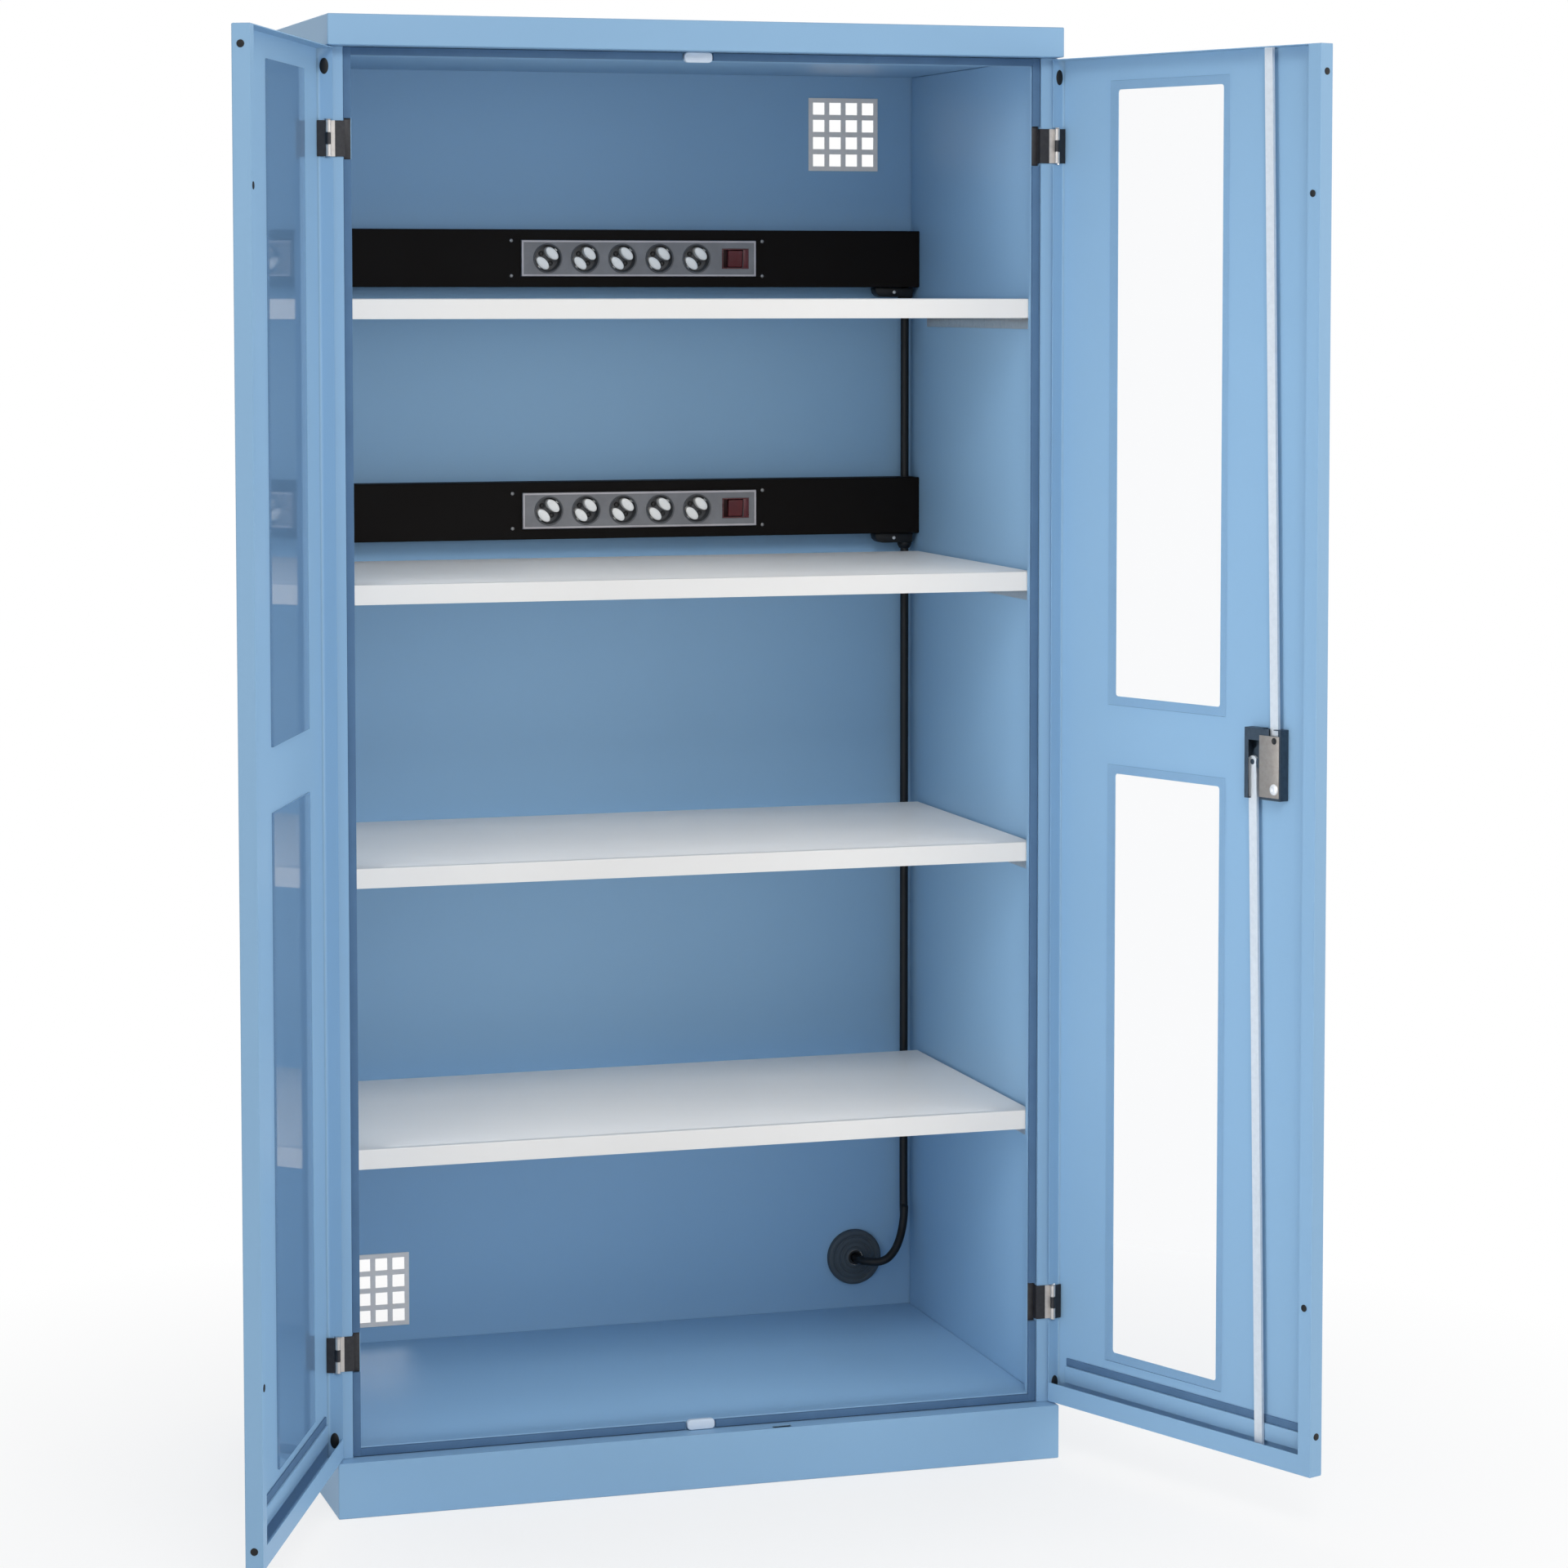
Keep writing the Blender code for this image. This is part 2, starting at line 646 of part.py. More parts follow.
def make_rod(end, sign, lock_axis, low_y, high_y):
    """A flat rod from its cam pin to the slot in the door's end flange, a little out of plumb."""
    tip_z = (door_top - rod_end_inset if sign > 0 else door_bottom + rod_end_inset) - lock_z
    pin_x = -sign * cam_throw
    length = math.hypot(tip_z, cam_throw)
    lean = math.atan2(cam_throw, abs(tip_z))
    rod_axis = bpy.data.objects.new(f"{end}_rod_axis", None)
    cabinet.objects.link(rod_axis)
    rod_axis.parent = lock_axis
    rod_axis.location = (pin_x, 0, 0)
    rod_axis.rotation_euler = (0, lean, 0)
    half = rod_width / 2
    rod = box(f"{end}_rod", (-half, low_y, 0), (half, high_y, sign * length), zinc_steel, rod_axis)
    join_round(rod, "eye", (0, low_y, 0), (0, high_y, 0), half + rod_eye_margin, 20)
    cut_round(rod, "eye_hole", (0, low_y - overrun, 0), (0, high_y + overrun, 0), cam_pin_radius + fit, 16)


def make_handle(frame, lock_axis, at, case_face):
    """The outside grip, level while unlocked, with a key cylinder in its middle."""
    rose = cylinder("handle_rose", at(lock_u, front_y - fit, lock_z),
                    at(lock_u, front_y - fit - rose_thickness, lock_z), rose_radius, zinc_steel, frame, 32)
    cut_round(rose, "bore", at(lock_u, front_y + overrun, lock_z),
              at(lock_u, front_y - rose_thickness - overrun, lock_z), hub_radius + fit)
    grip_back = front_y - handle_standoff - axis_y
    grip_front = grip_back - handle_thickness
    half_length = (handle_length - handle_width) / 2
    half_grip = handle_width / 2
    grip = box("turn_handle", (-half_length, grip_front, -half_grip),
               (half_length, grip_back, half_grip), black_plastic, lock_axis)
    for end, sign in (("near", 1), ("far", -1)):
        join_round(grip, f"{end}_end", (sign * half_length, grip_front, 0),
                   (sign * half_length, grip_back, 0), half_grip)
    join_round(grip, "neck", (0, grip_back - handle_thickness / 4, 0),
               (0, front_y - rose_thickness / 2 - axis_y, 0), hub_radius)
    join_box(grip, "spindle", (-spindle_half, front_y - rose_thickness - axis_y, -spindle_half),
             (spindle_half, case_face - axis_y - overrun / 4, spindle_half))
    key_front = grip_front - cylinder_proud
    key_back = key_front + cylinder_length
    cut_round(grip, "cylinder_seat", (0, grip_front - overrun, 0), (0, key_back + fit, 0),
              cylinder_radius + fit)
    key = cylinder("key_cylinder", (0, key_front, 0), (0, key_back, 0), cylinder_radius,
                   zinc_steel, lock_axis)
    cut_box(key, "keyway", (-keyway_width / 2, key_front - overrun, -keyway_height / 2),
            (keyway_width / 2, key_front + keyway_depth, keyway_height / 2))


def make_panel(end, bottom):
    """A black sheet housing across the back wall, open towards the wall."""
    high_y = wall_y - fit
    low_y = high_y - panel_depth
    half = liner_x - fit
    panel = box(f"{end}_power_panel", (-half, low_y, bottom), (half, high_y, bottom + panel_height),
                black_paint)
    wall = panel_sheet
    cut_box(panel, "hollow", (-half + wall, low_y + wall, bottom + wall),
            (half - wall, high_y + overrun, bottom + panel_height - wall))
    middle = bottom + panel_height / 2
    half_x, half_z = strip_width / 2 + fit, strip_height / 2 + fit
    cut_box(panel, "strip_cutout", (strip_centre_x - half_x, low_y - overrun, middle - half_z),
            (strip_centre_x + half_x, low_y + wall + overrun, middle + half_z))
    for label, z in (("floor", bottom), ("ceiling", bottom + panel_height)):
        cut_round(panel, f"{label}_cable_hole", (cable_x, cable_y, z - overrun),
                  (cable_x, cable_y, z + overrun), cable_radius + fit)
    make_strip(end, low_y, middle)
    make_gland(end, bottom - fit)


def make_strip(end, low_y, middle):
    front = low_y - strip_proud
    left = strip_centre_x - strip_width / 2
    strip = box(f"{end}_socket_strip", (left, front, middle - strip_height / 2),
                (left + strip_width, front + strip_depth, middle + strip_height / 2), grey_plastic)
    for index in range(socket_count):
        x = left + socket_start + index * socket_pitch
        cut_round(strip, f"socket_{index + 1}", (x, front - overrun, middle),
                  (x, front + socket_well, middle), socket_radius, 20)
    rocker_x = left + strip_width - rocker_from_right
    half_x, half_z = rocker_width / 2 + fit * 2, rocker_height / 2 + door_gap
    cut_box(strip, "rocker_well", (rocker_x - half_x, front - overrun, middle - half_z),
            (rocker_x + half_x, front + socket_well, middle + half_z))
    pivot = bpy.data.objects.new(f"{end}_rocker_axis", None)
    cabinet.objects.link(pivot)
    pivot.location = (rocker_x, front + rocker_thickness / 2, middle)
    pivot.rotation_euler = (rocker_tilt, 0, 0)
    box(f"{end}_rocker", (-rocker_width / 2, -rocker_thickness / 2, -rocker_height / 2),
        (rocker_width / 2, rocker_thickness / 2, rocker_height / 2), red_plastic, pivot)


def make_gland(end, top):
    """A strain relief under the panel, deep over the cable and tapering away to its left."""
    right = cable_x + gland_right_margin
    left = right - gland_width
    gland = box(f"{end}_cable_gland", (left, cable_y - gland_depth / 2, top - gland_height),
                (right, cable_y + gland_depth / 2, top), black_rubber)
    bm = bmesh.new()
    bm.from_mesh(gland.data)
    for corner in bm.verts:
        if corner.co.z < top - fit and corner.co.x < cable_x:
            corner.co.z = top - gland_height * gland_narrow_share
    bm.to_mesh(gland.data)
    bm.free()
    cut_round(gland, "bore", (cable_x, cable_y, top - gland_height - overrun),
              (cable_x, cable_y, top + overrun), cable_radius + fit)


def make_grommet():
    high_y = back_y - fit
    face = wall_y - fit
    grommet = cylinder("cable_grommet", (grommet_x, face - grommet_thickness, grommet_z),
                       (grommet_x, face, grommet_z), grommet_radius, grey_rubber, None, 32)
    join_round(grommet, "neck", (grommet_x, face - grommet_thickness / 2, grommet_z),
               (grommet_x, high_y, grommet_z), grommet_neck_radius, 32)
    cut_round(grommet, "bore", (grommet_x, face - grommet_thickness - overrun, grommet_z),
              (grommet_x, high_y + overrun, grommet_z), cable_radius + fit)


def smooth_points(route, step):
    """Points about one step apart on a Catmull-Rom curve through the route."""
    ends = [2 * route[0] - route[1]] + route + [2 * route[-1] - route[-2]]
    points = []
    for before, start, stop, after in zip(ends, ends[1:], ends[2:], ends[3:]):
        count = max(1, round((stop - start).length / step))
        for index in range(count):
            t = index / count
            points.append(start + ((stop - before) * t
                                   + (2 * before - 5 * start + 4 * stop - after) * t ** 2
                                   + (3 * start - before - 3 * stop + after) * t ** 3) / 2)
    return points + [route[-1]]


def cable(name, route):
    data = bpy.data.curves.new(name, "CURVE")
    data.dimensions = "3D"
    data.bevel_depth = cable_radius
    data.bevel_resolution = 2
    data.use_fill_caps = True
    points = smooth_points([Vector(point) for point in route], cable_step)
    spline = data.splines.new("POLY")
    spline.points.add(len(points) - 1)
    for target, point in zip(spline.points, points):
        target.co = (*point, 1)
    data.materials.append(black_rubber)
    piece = bpy.data.objects.new(name, data)
    cabinet.objects.link(piece)
    return piece


def make_cables():
    """The link between the panels, and the supply that drops to the grommet in one bend."""
    inside = panel_sheet + overrun
    link_top, link_bottom = upper_panel_z, lower_panel_z + panel_height
    cable("link_cable", [(cable_x, cable_y, link_top + inside),
                         (cable_x, cable_y, link_top - gland_height * 2),
                         (cable_x, cable_y, (link_top + link_bottom) / 2),
                         (cable_x, cable_y, link_bottom + gland_height),
                         (cable_x, cable_y, link_bottom - inside)])
    bend = [(grommet_x + across * (cable_x - grommet_x), cable_y - out * cable_bend_reach,
             grommet_z + up * cable_bend_height) for across, out, up in cable_bend_shares]
    entry = [(grommet_x, wall_y - depth, grommet_z) for depth in (cable_radius * 4, cable_radius * 2, 0)]
    cable("supply_cable", [(cable_x, cable_y, lower_panel_z + inside),
                           (cable_x, cable_y, lower_panel_z - gland_height * 2),
                           (cable_x, cable_y, lower_panel_z - cable_clip_drop),
                           (cable_x, cable_y, grommet_z + cable_bend_height)] + bend + entry)


def make_catch(end, low_z):
    box(f"{end}_door_catch", (catch_x - catch_width / 2, post_y - fit * 2, low_z),
        (catch_x + catch_width / 2, strip_y - fit, low_z + catch_height), white_plastic)


make_plinth()
make_deck()
make_roof()
make_back()
for side_name in sides:
    make_side(side_name)
    make_liner(side_name)
make_vent("upper", upper_vent_x, upper_vent_z)
make_vent("lower", lower_vent_x, lower_vent_z)
for shelf_index in range(shelf_count):
    make_shelf(shelf_index + 1, cabinet_height - top_shelf_drop - shelf_index * shelf_pitch)
make_panel("upper", upper_panel_z)
make_panel("lower", lower_panel_z)
make_grommet()
make_cables()
make_catch("upper", band_z - fit - catch_height)
make_catch("lower", plinth_height + fit)
for side_name in sides:
    door_axis = door_frame(side_name)
    make_door(side_name, door_axis)
    make_panes(side_name, door_axis)
    for hinge_end, hinge_z in (("upper", upper_hinge_z), ("lower", lower_hinge_z)):
        make_hinge(side_name, hinge_end, hinge_z, door_axis)
    if side_name == "right":
        make_lock(door_axis)
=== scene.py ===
import json
import math

import bmesh
import bpy
from mathutils import Matrix, Vector

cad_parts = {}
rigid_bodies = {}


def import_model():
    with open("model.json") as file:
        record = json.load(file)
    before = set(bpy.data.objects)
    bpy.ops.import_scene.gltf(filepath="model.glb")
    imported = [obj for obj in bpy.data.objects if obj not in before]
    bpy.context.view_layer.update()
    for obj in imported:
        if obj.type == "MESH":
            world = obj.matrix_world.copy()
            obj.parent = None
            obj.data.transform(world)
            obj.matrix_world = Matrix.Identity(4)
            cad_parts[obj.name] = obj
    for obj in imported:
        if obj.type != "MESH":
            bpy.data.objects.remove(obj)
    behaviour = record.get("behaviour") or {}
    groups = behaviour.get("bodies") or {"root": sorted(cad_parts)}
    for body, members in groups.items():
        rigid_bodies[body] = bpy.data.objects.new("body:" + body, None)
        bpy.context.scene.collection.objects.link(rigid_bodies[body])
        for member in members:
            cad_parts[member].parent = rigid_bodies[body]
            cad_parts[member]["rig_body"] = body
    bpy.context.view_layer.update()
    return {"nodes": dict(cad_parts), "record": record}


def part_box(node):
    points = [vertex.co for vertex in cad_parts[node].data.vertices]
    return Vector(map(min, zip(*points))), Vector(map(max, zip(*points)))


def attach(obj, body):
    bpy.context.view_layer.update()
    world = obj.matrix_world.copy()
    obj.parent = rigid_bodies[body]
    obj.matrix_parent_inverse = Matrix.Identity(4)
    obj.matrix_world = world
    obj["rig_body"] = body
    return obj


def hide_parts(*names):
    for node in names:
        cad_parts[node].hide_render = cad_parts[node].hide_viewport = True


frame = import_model()
nodes = frame["nodes"]
slotOf = {part["node"]: part["material_slot"] for part in frame["record"]["subparts"]}
bodyOf = {name: piece["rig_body"] for name, piece in nodes.items()}
print("frame loaded:", len(nodes), "nodes")

# the doors' axes and planes in metres, as the solids have them, and how far the doors stand open
plan = {
    "doorAxisX": 0.4965,
    "doorAxisY": 0.0015,
    "openAngle": math.radians(112),
    "hingeInner": -0.0020,
    "freeOuter": 0.4945,
    "lip": 0.4815,
    "mouth": 0.0055,
    "middle": -0.0055,
}


def doorSpace(side):
    # closed-door coordinates about the hinge axis, turned to where the open door stands
    return (Matrix.Translation((side * plan["doorAxisX"], plan["doorAxisY"], 0))
            @ Matrix.Rotation(side * plan["openAngle"], 4, "Z"))


# camera, at the photograph's angle
shot = {
    "place": (-1.53928, -5.42457, 1.59506),
    "yaw": math.radians(17.36),
    "pitch": math.radians(-3.95),
    "lens": 98.18,
    "sensor": 36,
    "shift": (-0.0208, -0.125),
}
camera = bpy.data.cameras.new("camera")
camera.sensor_width = shot["sensor"]
camera.lens = shot["lens"]
camera.shift_x, camera.shift_y = shot["shift"]
cameraRig = bpy.data.objects.new("camera", camera)
cameraRig.location = shot["place"]
cameraRig.rotation_euler = (math.pi / 2 + shot["pitch"], 0, -shot["yaw"])
bpy.context.scene.collection.objects.link(cameraRig)
bpy.context.scene.camera = cameraRig
print("camera set")


# materials
def newGroup(name, inputs, outputs):
    group = bpy.data.node_groups.new(name, "ShaderNodeTree")
    for label, kind, value in inputs:
        socket = group.interface.new_socket(label, in_out="INPUT", socket_type=kind)
        if value is not None:
            socket.default_value = value
    for label, kind in outputs:
        group.interface.new_socket(label, in_out="OUTPUT", socket_type=kind)
    return group, group.nodes.new("NodeGroupInput"), group.nodes.new("NodeGroupOutput")


def feed(tree, socket, value):
    # a number or a colour is set on the socket, and anything else is linked to it
    if isinstance(value, tuple):
        value = (*value, 1)
    if isinstance(value, (int, float, tuple)):
        socket.default_value = value
    else:
        tree.links.new(value, socket)


def noise(tree, vector, scale, detail, roughness):
    node = tree.nodes.new("ShaderNodeTexNoise")
    for label, value in (("Vector", vector), ("Scale", scale), ("Detail", detail), ("Roughness", roughness)):
        feed(tree, node.inputs[label], value)
    return node.outputs["Fac"]


def mathNode(tree, operation, *values):
    node = tree.nodes.new("ShaderNodeMath")
    node.operation = operation
    for socket, value in zip(node.inputs, values):
        feed(tree, socket, value)
    return node.outputs[0]


def spread(tree, value, low, high, toLow=0.0, toHigh=1.0):
    node = tree.nodes.new("ShaderNodeMapRange")
    settings = {"Value": value, "From Min": low, "From Max": high, "To Min": toLow, "To Max": toHigh}
    for label, setting in settings.items():
        feed(tree, node.inputs[label], setting)
    return node.outputs["Result"]


def blendColour(tree, factor, first, second):
    node = tree.nodes.new("ShaderNodeMix")
    node.data_type = "RGBA"
    # its colour sockets share their names with the others, so they go by number
    for index, value in ((0, factor), (6, first), (7, second)):
        feed(tree, node.inputs[index], value)
    return node.outputs[2]


# what the finishes share: noise scales, the windows that noise is read through and the depths of their bumps
grains = {
    "window": (0.3, 0.7),
    "swellScale": 95.0,
    "swellShare": 0.8,
    "fleckScale": 2600.0,
    "fleckWindow": (0.35, 0.65),
    "scratchStretch": (1.0, 1.0, 0.03),
    "cloudScale": 140.0,
    "cellShare": 0.5,
    "bloomScale": 22.0,
    "bloomWindow": (0.35, 0.7),
    "coatDepth": 0.0004,
    "grainDepth": 0.0002,
}


def buildPowderCoat():
    # the orange peel of a baked coat, with fine flecks and slow drifts in its tone and gloss
    group, given, out = newGroup(
        "powderCoat",
        [("Vector", "NodeSocketVector", None), ("Peel Scale", "NodeSocketFloat", 620.0),
         ("Drift Scale", "NodeSocketFloat", 3.0)],
        [("Height", "NodeSocketFloat"), ("Drift", "NodeSocketFloat"), ("Fleck", "NodeSocketFloat")])
    vector = given.outputs["Vector"]
    peel = noise(group, vector, given.outputs["Peel Scale"], detail=2.0, roughness=0.45)
    swell = noise(group, vector, grains["swellScale"], detail=1.0, roughness=0.5)
    drift = noise(group, vector, given.outputs["Drift Scale"], detail=3.0, roughness=0.55)
    fleck = noise(group, vector, grains["fleckScale"], detail=1.0, roughness=0.4)
    height = mathNode(group, "MULTIPLY_ADD", swell, grains["swellShare"], peel)
    group.links.new(height, out.inputs["Height"])
    group.links.new(drift, out.inputs["Drift"])
    group.links.new(spread(group, fleck, *grains["fleckWindow"]), out.inputs["Fleck"])
    return group


def buildBrushed():
    # fine scratches along one direction, over cloudy zinc spangle
    group, given, out = newGroup(
        "brushedZinc",
        [("Vector", "NodeSocketVector", None), ("Grain Scale", "NodeSocketFloat", 900.0)],
        [("Height", "NodeSocketFloat"), ("Cloud", "NodeSocketFloat"), ("Streak", "NodeSocketFloat")])
    vector = given.outputs["Vector"]
    stretch = group.nodes.new("ShaderNodeMapping")
    stretch.inputs["Scale"].default_value = grains["scratchStretch"]
    group.links.new(vector, stretch.inputs["Vector"])
    streak = noise(group, stretch.outputs["Vector"], given.outputs["Grain Scale"], detail=3.0, roughness=0.6)
    cloud = noise(group, vector, grains["cloudScale"], detail=3.0, roughness=0.6)
    group.links.new(streak, out.inputs["Height"])
    group.links.new(cloud, out.inputs["Cloud"])
    group.links.new(streak, out.inputs["Streak"])
    return group


def buildMoulded():
    # spark-eroded texture of a moulded piece, with a faint bloom
    group, given, out = newGroup(
        "mouldedGrain",
        [("Vector", "NodeSocketVector", None), ("Grain Scale", "NodeSocketFloat", 1500.0)],
        [("Height", "NodeSocketFloat"), ("Bloom", "NodeSocketFloat")])
    vector = given.outputs["Vector"]
    cells = group.nodes.new("ShaderNodeTexVoronoi")
    group.links.new(vector, cells.inputs["Vector"])
    group.links.new(given.outputs["Grain Scale"], cells.inputs["Scale"])
    fine = noise(group, vector, given.outputs["Grain Scale"], detail=2.0, roughness=0.5)
    height = mathNode(group, "MULTIPLY_ADD", cells.outputs["Distance"], grains["cellShare"], fine)
    bloom = noise(group, vector, grains["bloomScale"], detail=4.0, roughness=0.6)
    group.links.new(height, out.inputs["Height"])
    group.links.new(bloom, out.inputs["Bloom"])
    return group


powderCoat = buildPowderCoat()
brushedZinc = buildBrushed()
mouldedGrain = buildMoulded()


def startMaterial(name, effect):
    material = bpy.data.materials.new(name)
    material.use_nodes = True
    tree = material.node_tree
    place = tree.nodes.new("ShaderNodeTexCoord")
    node = tree.nodes.new("ShaderNodeGroup")
    node.node_tree = effect
    tree.links.new(place.outputs["Object"], node.inputs["Vector"])
    return material, tree, tree.nodes["Principled BSDF"], node


def addBump(tree, shader, height, strength, distance):
    bump = tree.nodes.new("ShaderNodeBump")
    bump.inputs["Strength"].default_value = strength
    bump.inputs["Distance"].default_value = distance
    tree.links.new(height, bump.inputs["Height"])
    tree.links.new(bump.outputs["Normal"], shader.inputs["Normal"])


def setGloss(tree, shader, value, gloss):
    tree.links.new(spread(tree, value, *grains["window"], *gloss), shader.inputs["Roughness"])


def coated(name, look):
    material, tree, shader, coat = startMaterial(name, powderCoat)
    coat.inputs["Peel Scale"].default_value = look["peel"]
    coat.inputs["Drift Scale"].default_value = look["drift"]
    shader.inputs["Specular IOR Level"].default_value = look["specular"]
    drift = spread(tree, coat.outputs["Drift"], *grains["window"])
    toned = blendColour(tree, drift, look["deep"], look["colour"])
    fleck = mathNode(tree, "MULTIPLY", coat.outputs["Fleck"], look["fleck"])
    tree.links.new(blendColour(tree, fleck, toned, look["light"]), shader.inputs["Base Color"])
    setGloss(tree, shader, coat.outputs["Drift"], look["gloss"])
    addBump(tree, shader, coat.outputs["Height"], look["bump"], grains["coatDepth"])
    return material


def zinced(name, look):
    material, tree, shader, grain = startMaterial(name, brushedZinc)
    grain.inputs["Grain Scale"].default_value = look["grain"]
    shader.inputs["Metallic"].default_value = look["metallic"]
    cloud = spread(tree, grain.outputs["Cloud"], *grains["window"])
    tree.links.new(blendColour(tree, cloud, look["deep"], look["colour"]), shader.inputs["Base Color"])
    setGloss(tree, shader, grain.outputs["Streak"], look["gloss"])
    addBump(tree, shader, grain.outputs["Height"], look["bump"], grains["grainDepth"])
    return material


def moulded(name, look):
    material, tree, shader, grain = startMaterial(name, mouldedGrain)
    grain.inputs["Grain Scale"].default_value = look["grain"]
    shader.inputs["Specular IOR Level"].default_value = look["specular"]
    bloom = spread(tree, grain.outputs["Bloom"], *grains["bloomWindow"])
    tree.links.new(blendColour(tree, bloom, look["deep"], look["colour"]), shader.inputs["Base Color"])
    setGloss(tree, shader, grain.outputs["Bloom"], look["gloss"])
    addBump(tree, shader, grain.outputs["Height"], look["bump"], grains["grainDepth"])
    return material


def glazed(name, look):
    # clear straight on, and covered by a painted reflection in blue-grey where the eye skims along the pane
    material, tree, shader, coat = startMaterial(name, powderCoat)
    shader.inputs["IOR"].default_value = look["ior"]
    skim = tree.nodes.new("ShaderNodeLayerWeight")
    skim.inputs["Blend"].default_value = look["skim"]
    paintedReflection = blendColour(tree, coat.outputs["Drift"], look["deep"], look["colour"])
    tree.links.new(paintedReflection, shader.inputs["Base Color"])
    setGloss(tree, shader, coat.outputs["Drift"], look["gloss"])
    cover = spread(tree, skim.outputs["Facing"], look["clearTo"], look["solidFrom"],
                   look["least"], look["most"])
    tree.links.new(cover, shader.inputs["Alpha"])
    return material


looks = {
    "blue_paint": coated("bluePaint", {
        "colour": (0.275, 0.461, 0.664), "deep": (0.263, 0.445, 0.645), "light": (0.306, 0.498, 0.704),
        "fleck": 0.10, "peel": 620.0, "drift": 2.2, "gloss": (0.42, 0.50), "specular": 0.24, "bump": 0.10}),
    "white_paint": coated("whitePaint", {
        "colour": (0.868, 0.846, 0.818), "deep": (0.850, 0.826, 0.796), "light": (0.892, 0.872, 0.846),
        "fleck": 0.08, "peel": 700.0, "drift": 3.5, "gloss": (0.38, 0.48), "specular": 0.30, "bump": 0.08}),
    "black_paint": coated("blackPaint", {
        "colour": (0.0044, 0.0032, 0.0027), "deep": (0.0030, 0.0022, 0.0019),
        "light": (0.011, 0.009, 0.008), "fleck": 0.10, "peel": 900.0, "drift": 6.0, "gloss": (0.55, 0.66),
        "specular": 0.09, "bump": 0.10}),
    "zinc_steel": zinced("zincSteel", {
        "colour": (0.66, 0.66, 0.64), "deep": (0.60, 0.60, 0.585), "metallic": 0.7, "gloss": (0.26, 0.42),
        "grain": 900.0, "bump": 0.12}),
    "zinc_grille": zinced("grilleCoat", {
        "colour": (0.96, 0.87, 0.79), "deep": (0.92, 0.83, 0.75), "metallic": 0.0, "gloss": (0.38, 0.50),
        "grain": 700.0, "bump": 0.08}),
    # the blue-grey that covers the pane at glancing angles is a painted reflection
    "clear_glass": glazed("paneGlass", {
        "colour": (0.144, 0.263, 0.428), "deep": (0.130, 0.244, 0.404), "clearTo": 0.50, "solidFrom": 0.76,
        "least": 0.03, "most": 0.92, "ior": 1.45, "skim": 0.5, "gloss": (0.03, 0.06)}),
    "grey_plastic": moulded("greyPlastic", {
        "colour": (0.215, 0.215, 0.225), "deep": (0.165, 0.165, 0.175), "gloss": (0.40, 0.52),
        "specular": 0.4, "grain": 1500.0, "bump": 0.12}),
    "white_plastic": moulded("whitePlastic", {
        "colour": (0.90, 0.91, 0.92), "deep": (0.84, 0.85, 0.86), "gloss": (0.32, 0.44), "specular": 0.5,
        "grain": 1200.0, "bump": 0.08}),
    "red_plastic": moulded("redPlastic", {
        "colour": (0.120, 0.004, 0.008), "deep": (0.070, 0.003, 0.006), "gloss": (0.16, 0.26),
        "specular": 0.5, "grain": 900.0, "bump": 0.04}),
    "black_plastic": moulded("blackPlastic", {
        "colour": (0.018, 0.018, 0.019), "deep": (0.012, 0.012, 0.013), "gloss": (0.38, 0.52),
        "specular": 0.4, "grain": 1400.0, "bump": 0.16}),
    "black_rubber": moulded("blackRubber", {
        "colour": (0.0060, 0.0068, 0.0080), "deep": (0.0040, 0.0046, 0.0055), "gloss": (0.46, 0.60),
        "specular": 0.35, "grain": 1800.0, "bump": 0.12}),
    "grey_rubber": moulded("greyRubber", {
        "colour": (0.062, 0.078, 0.090), "deep": (0.049, 0.062, 0.074), "gloss": (0.52, 0.68),
        "specular": 0.35, "grain": 1300.0, "bump": 0.16}),
}
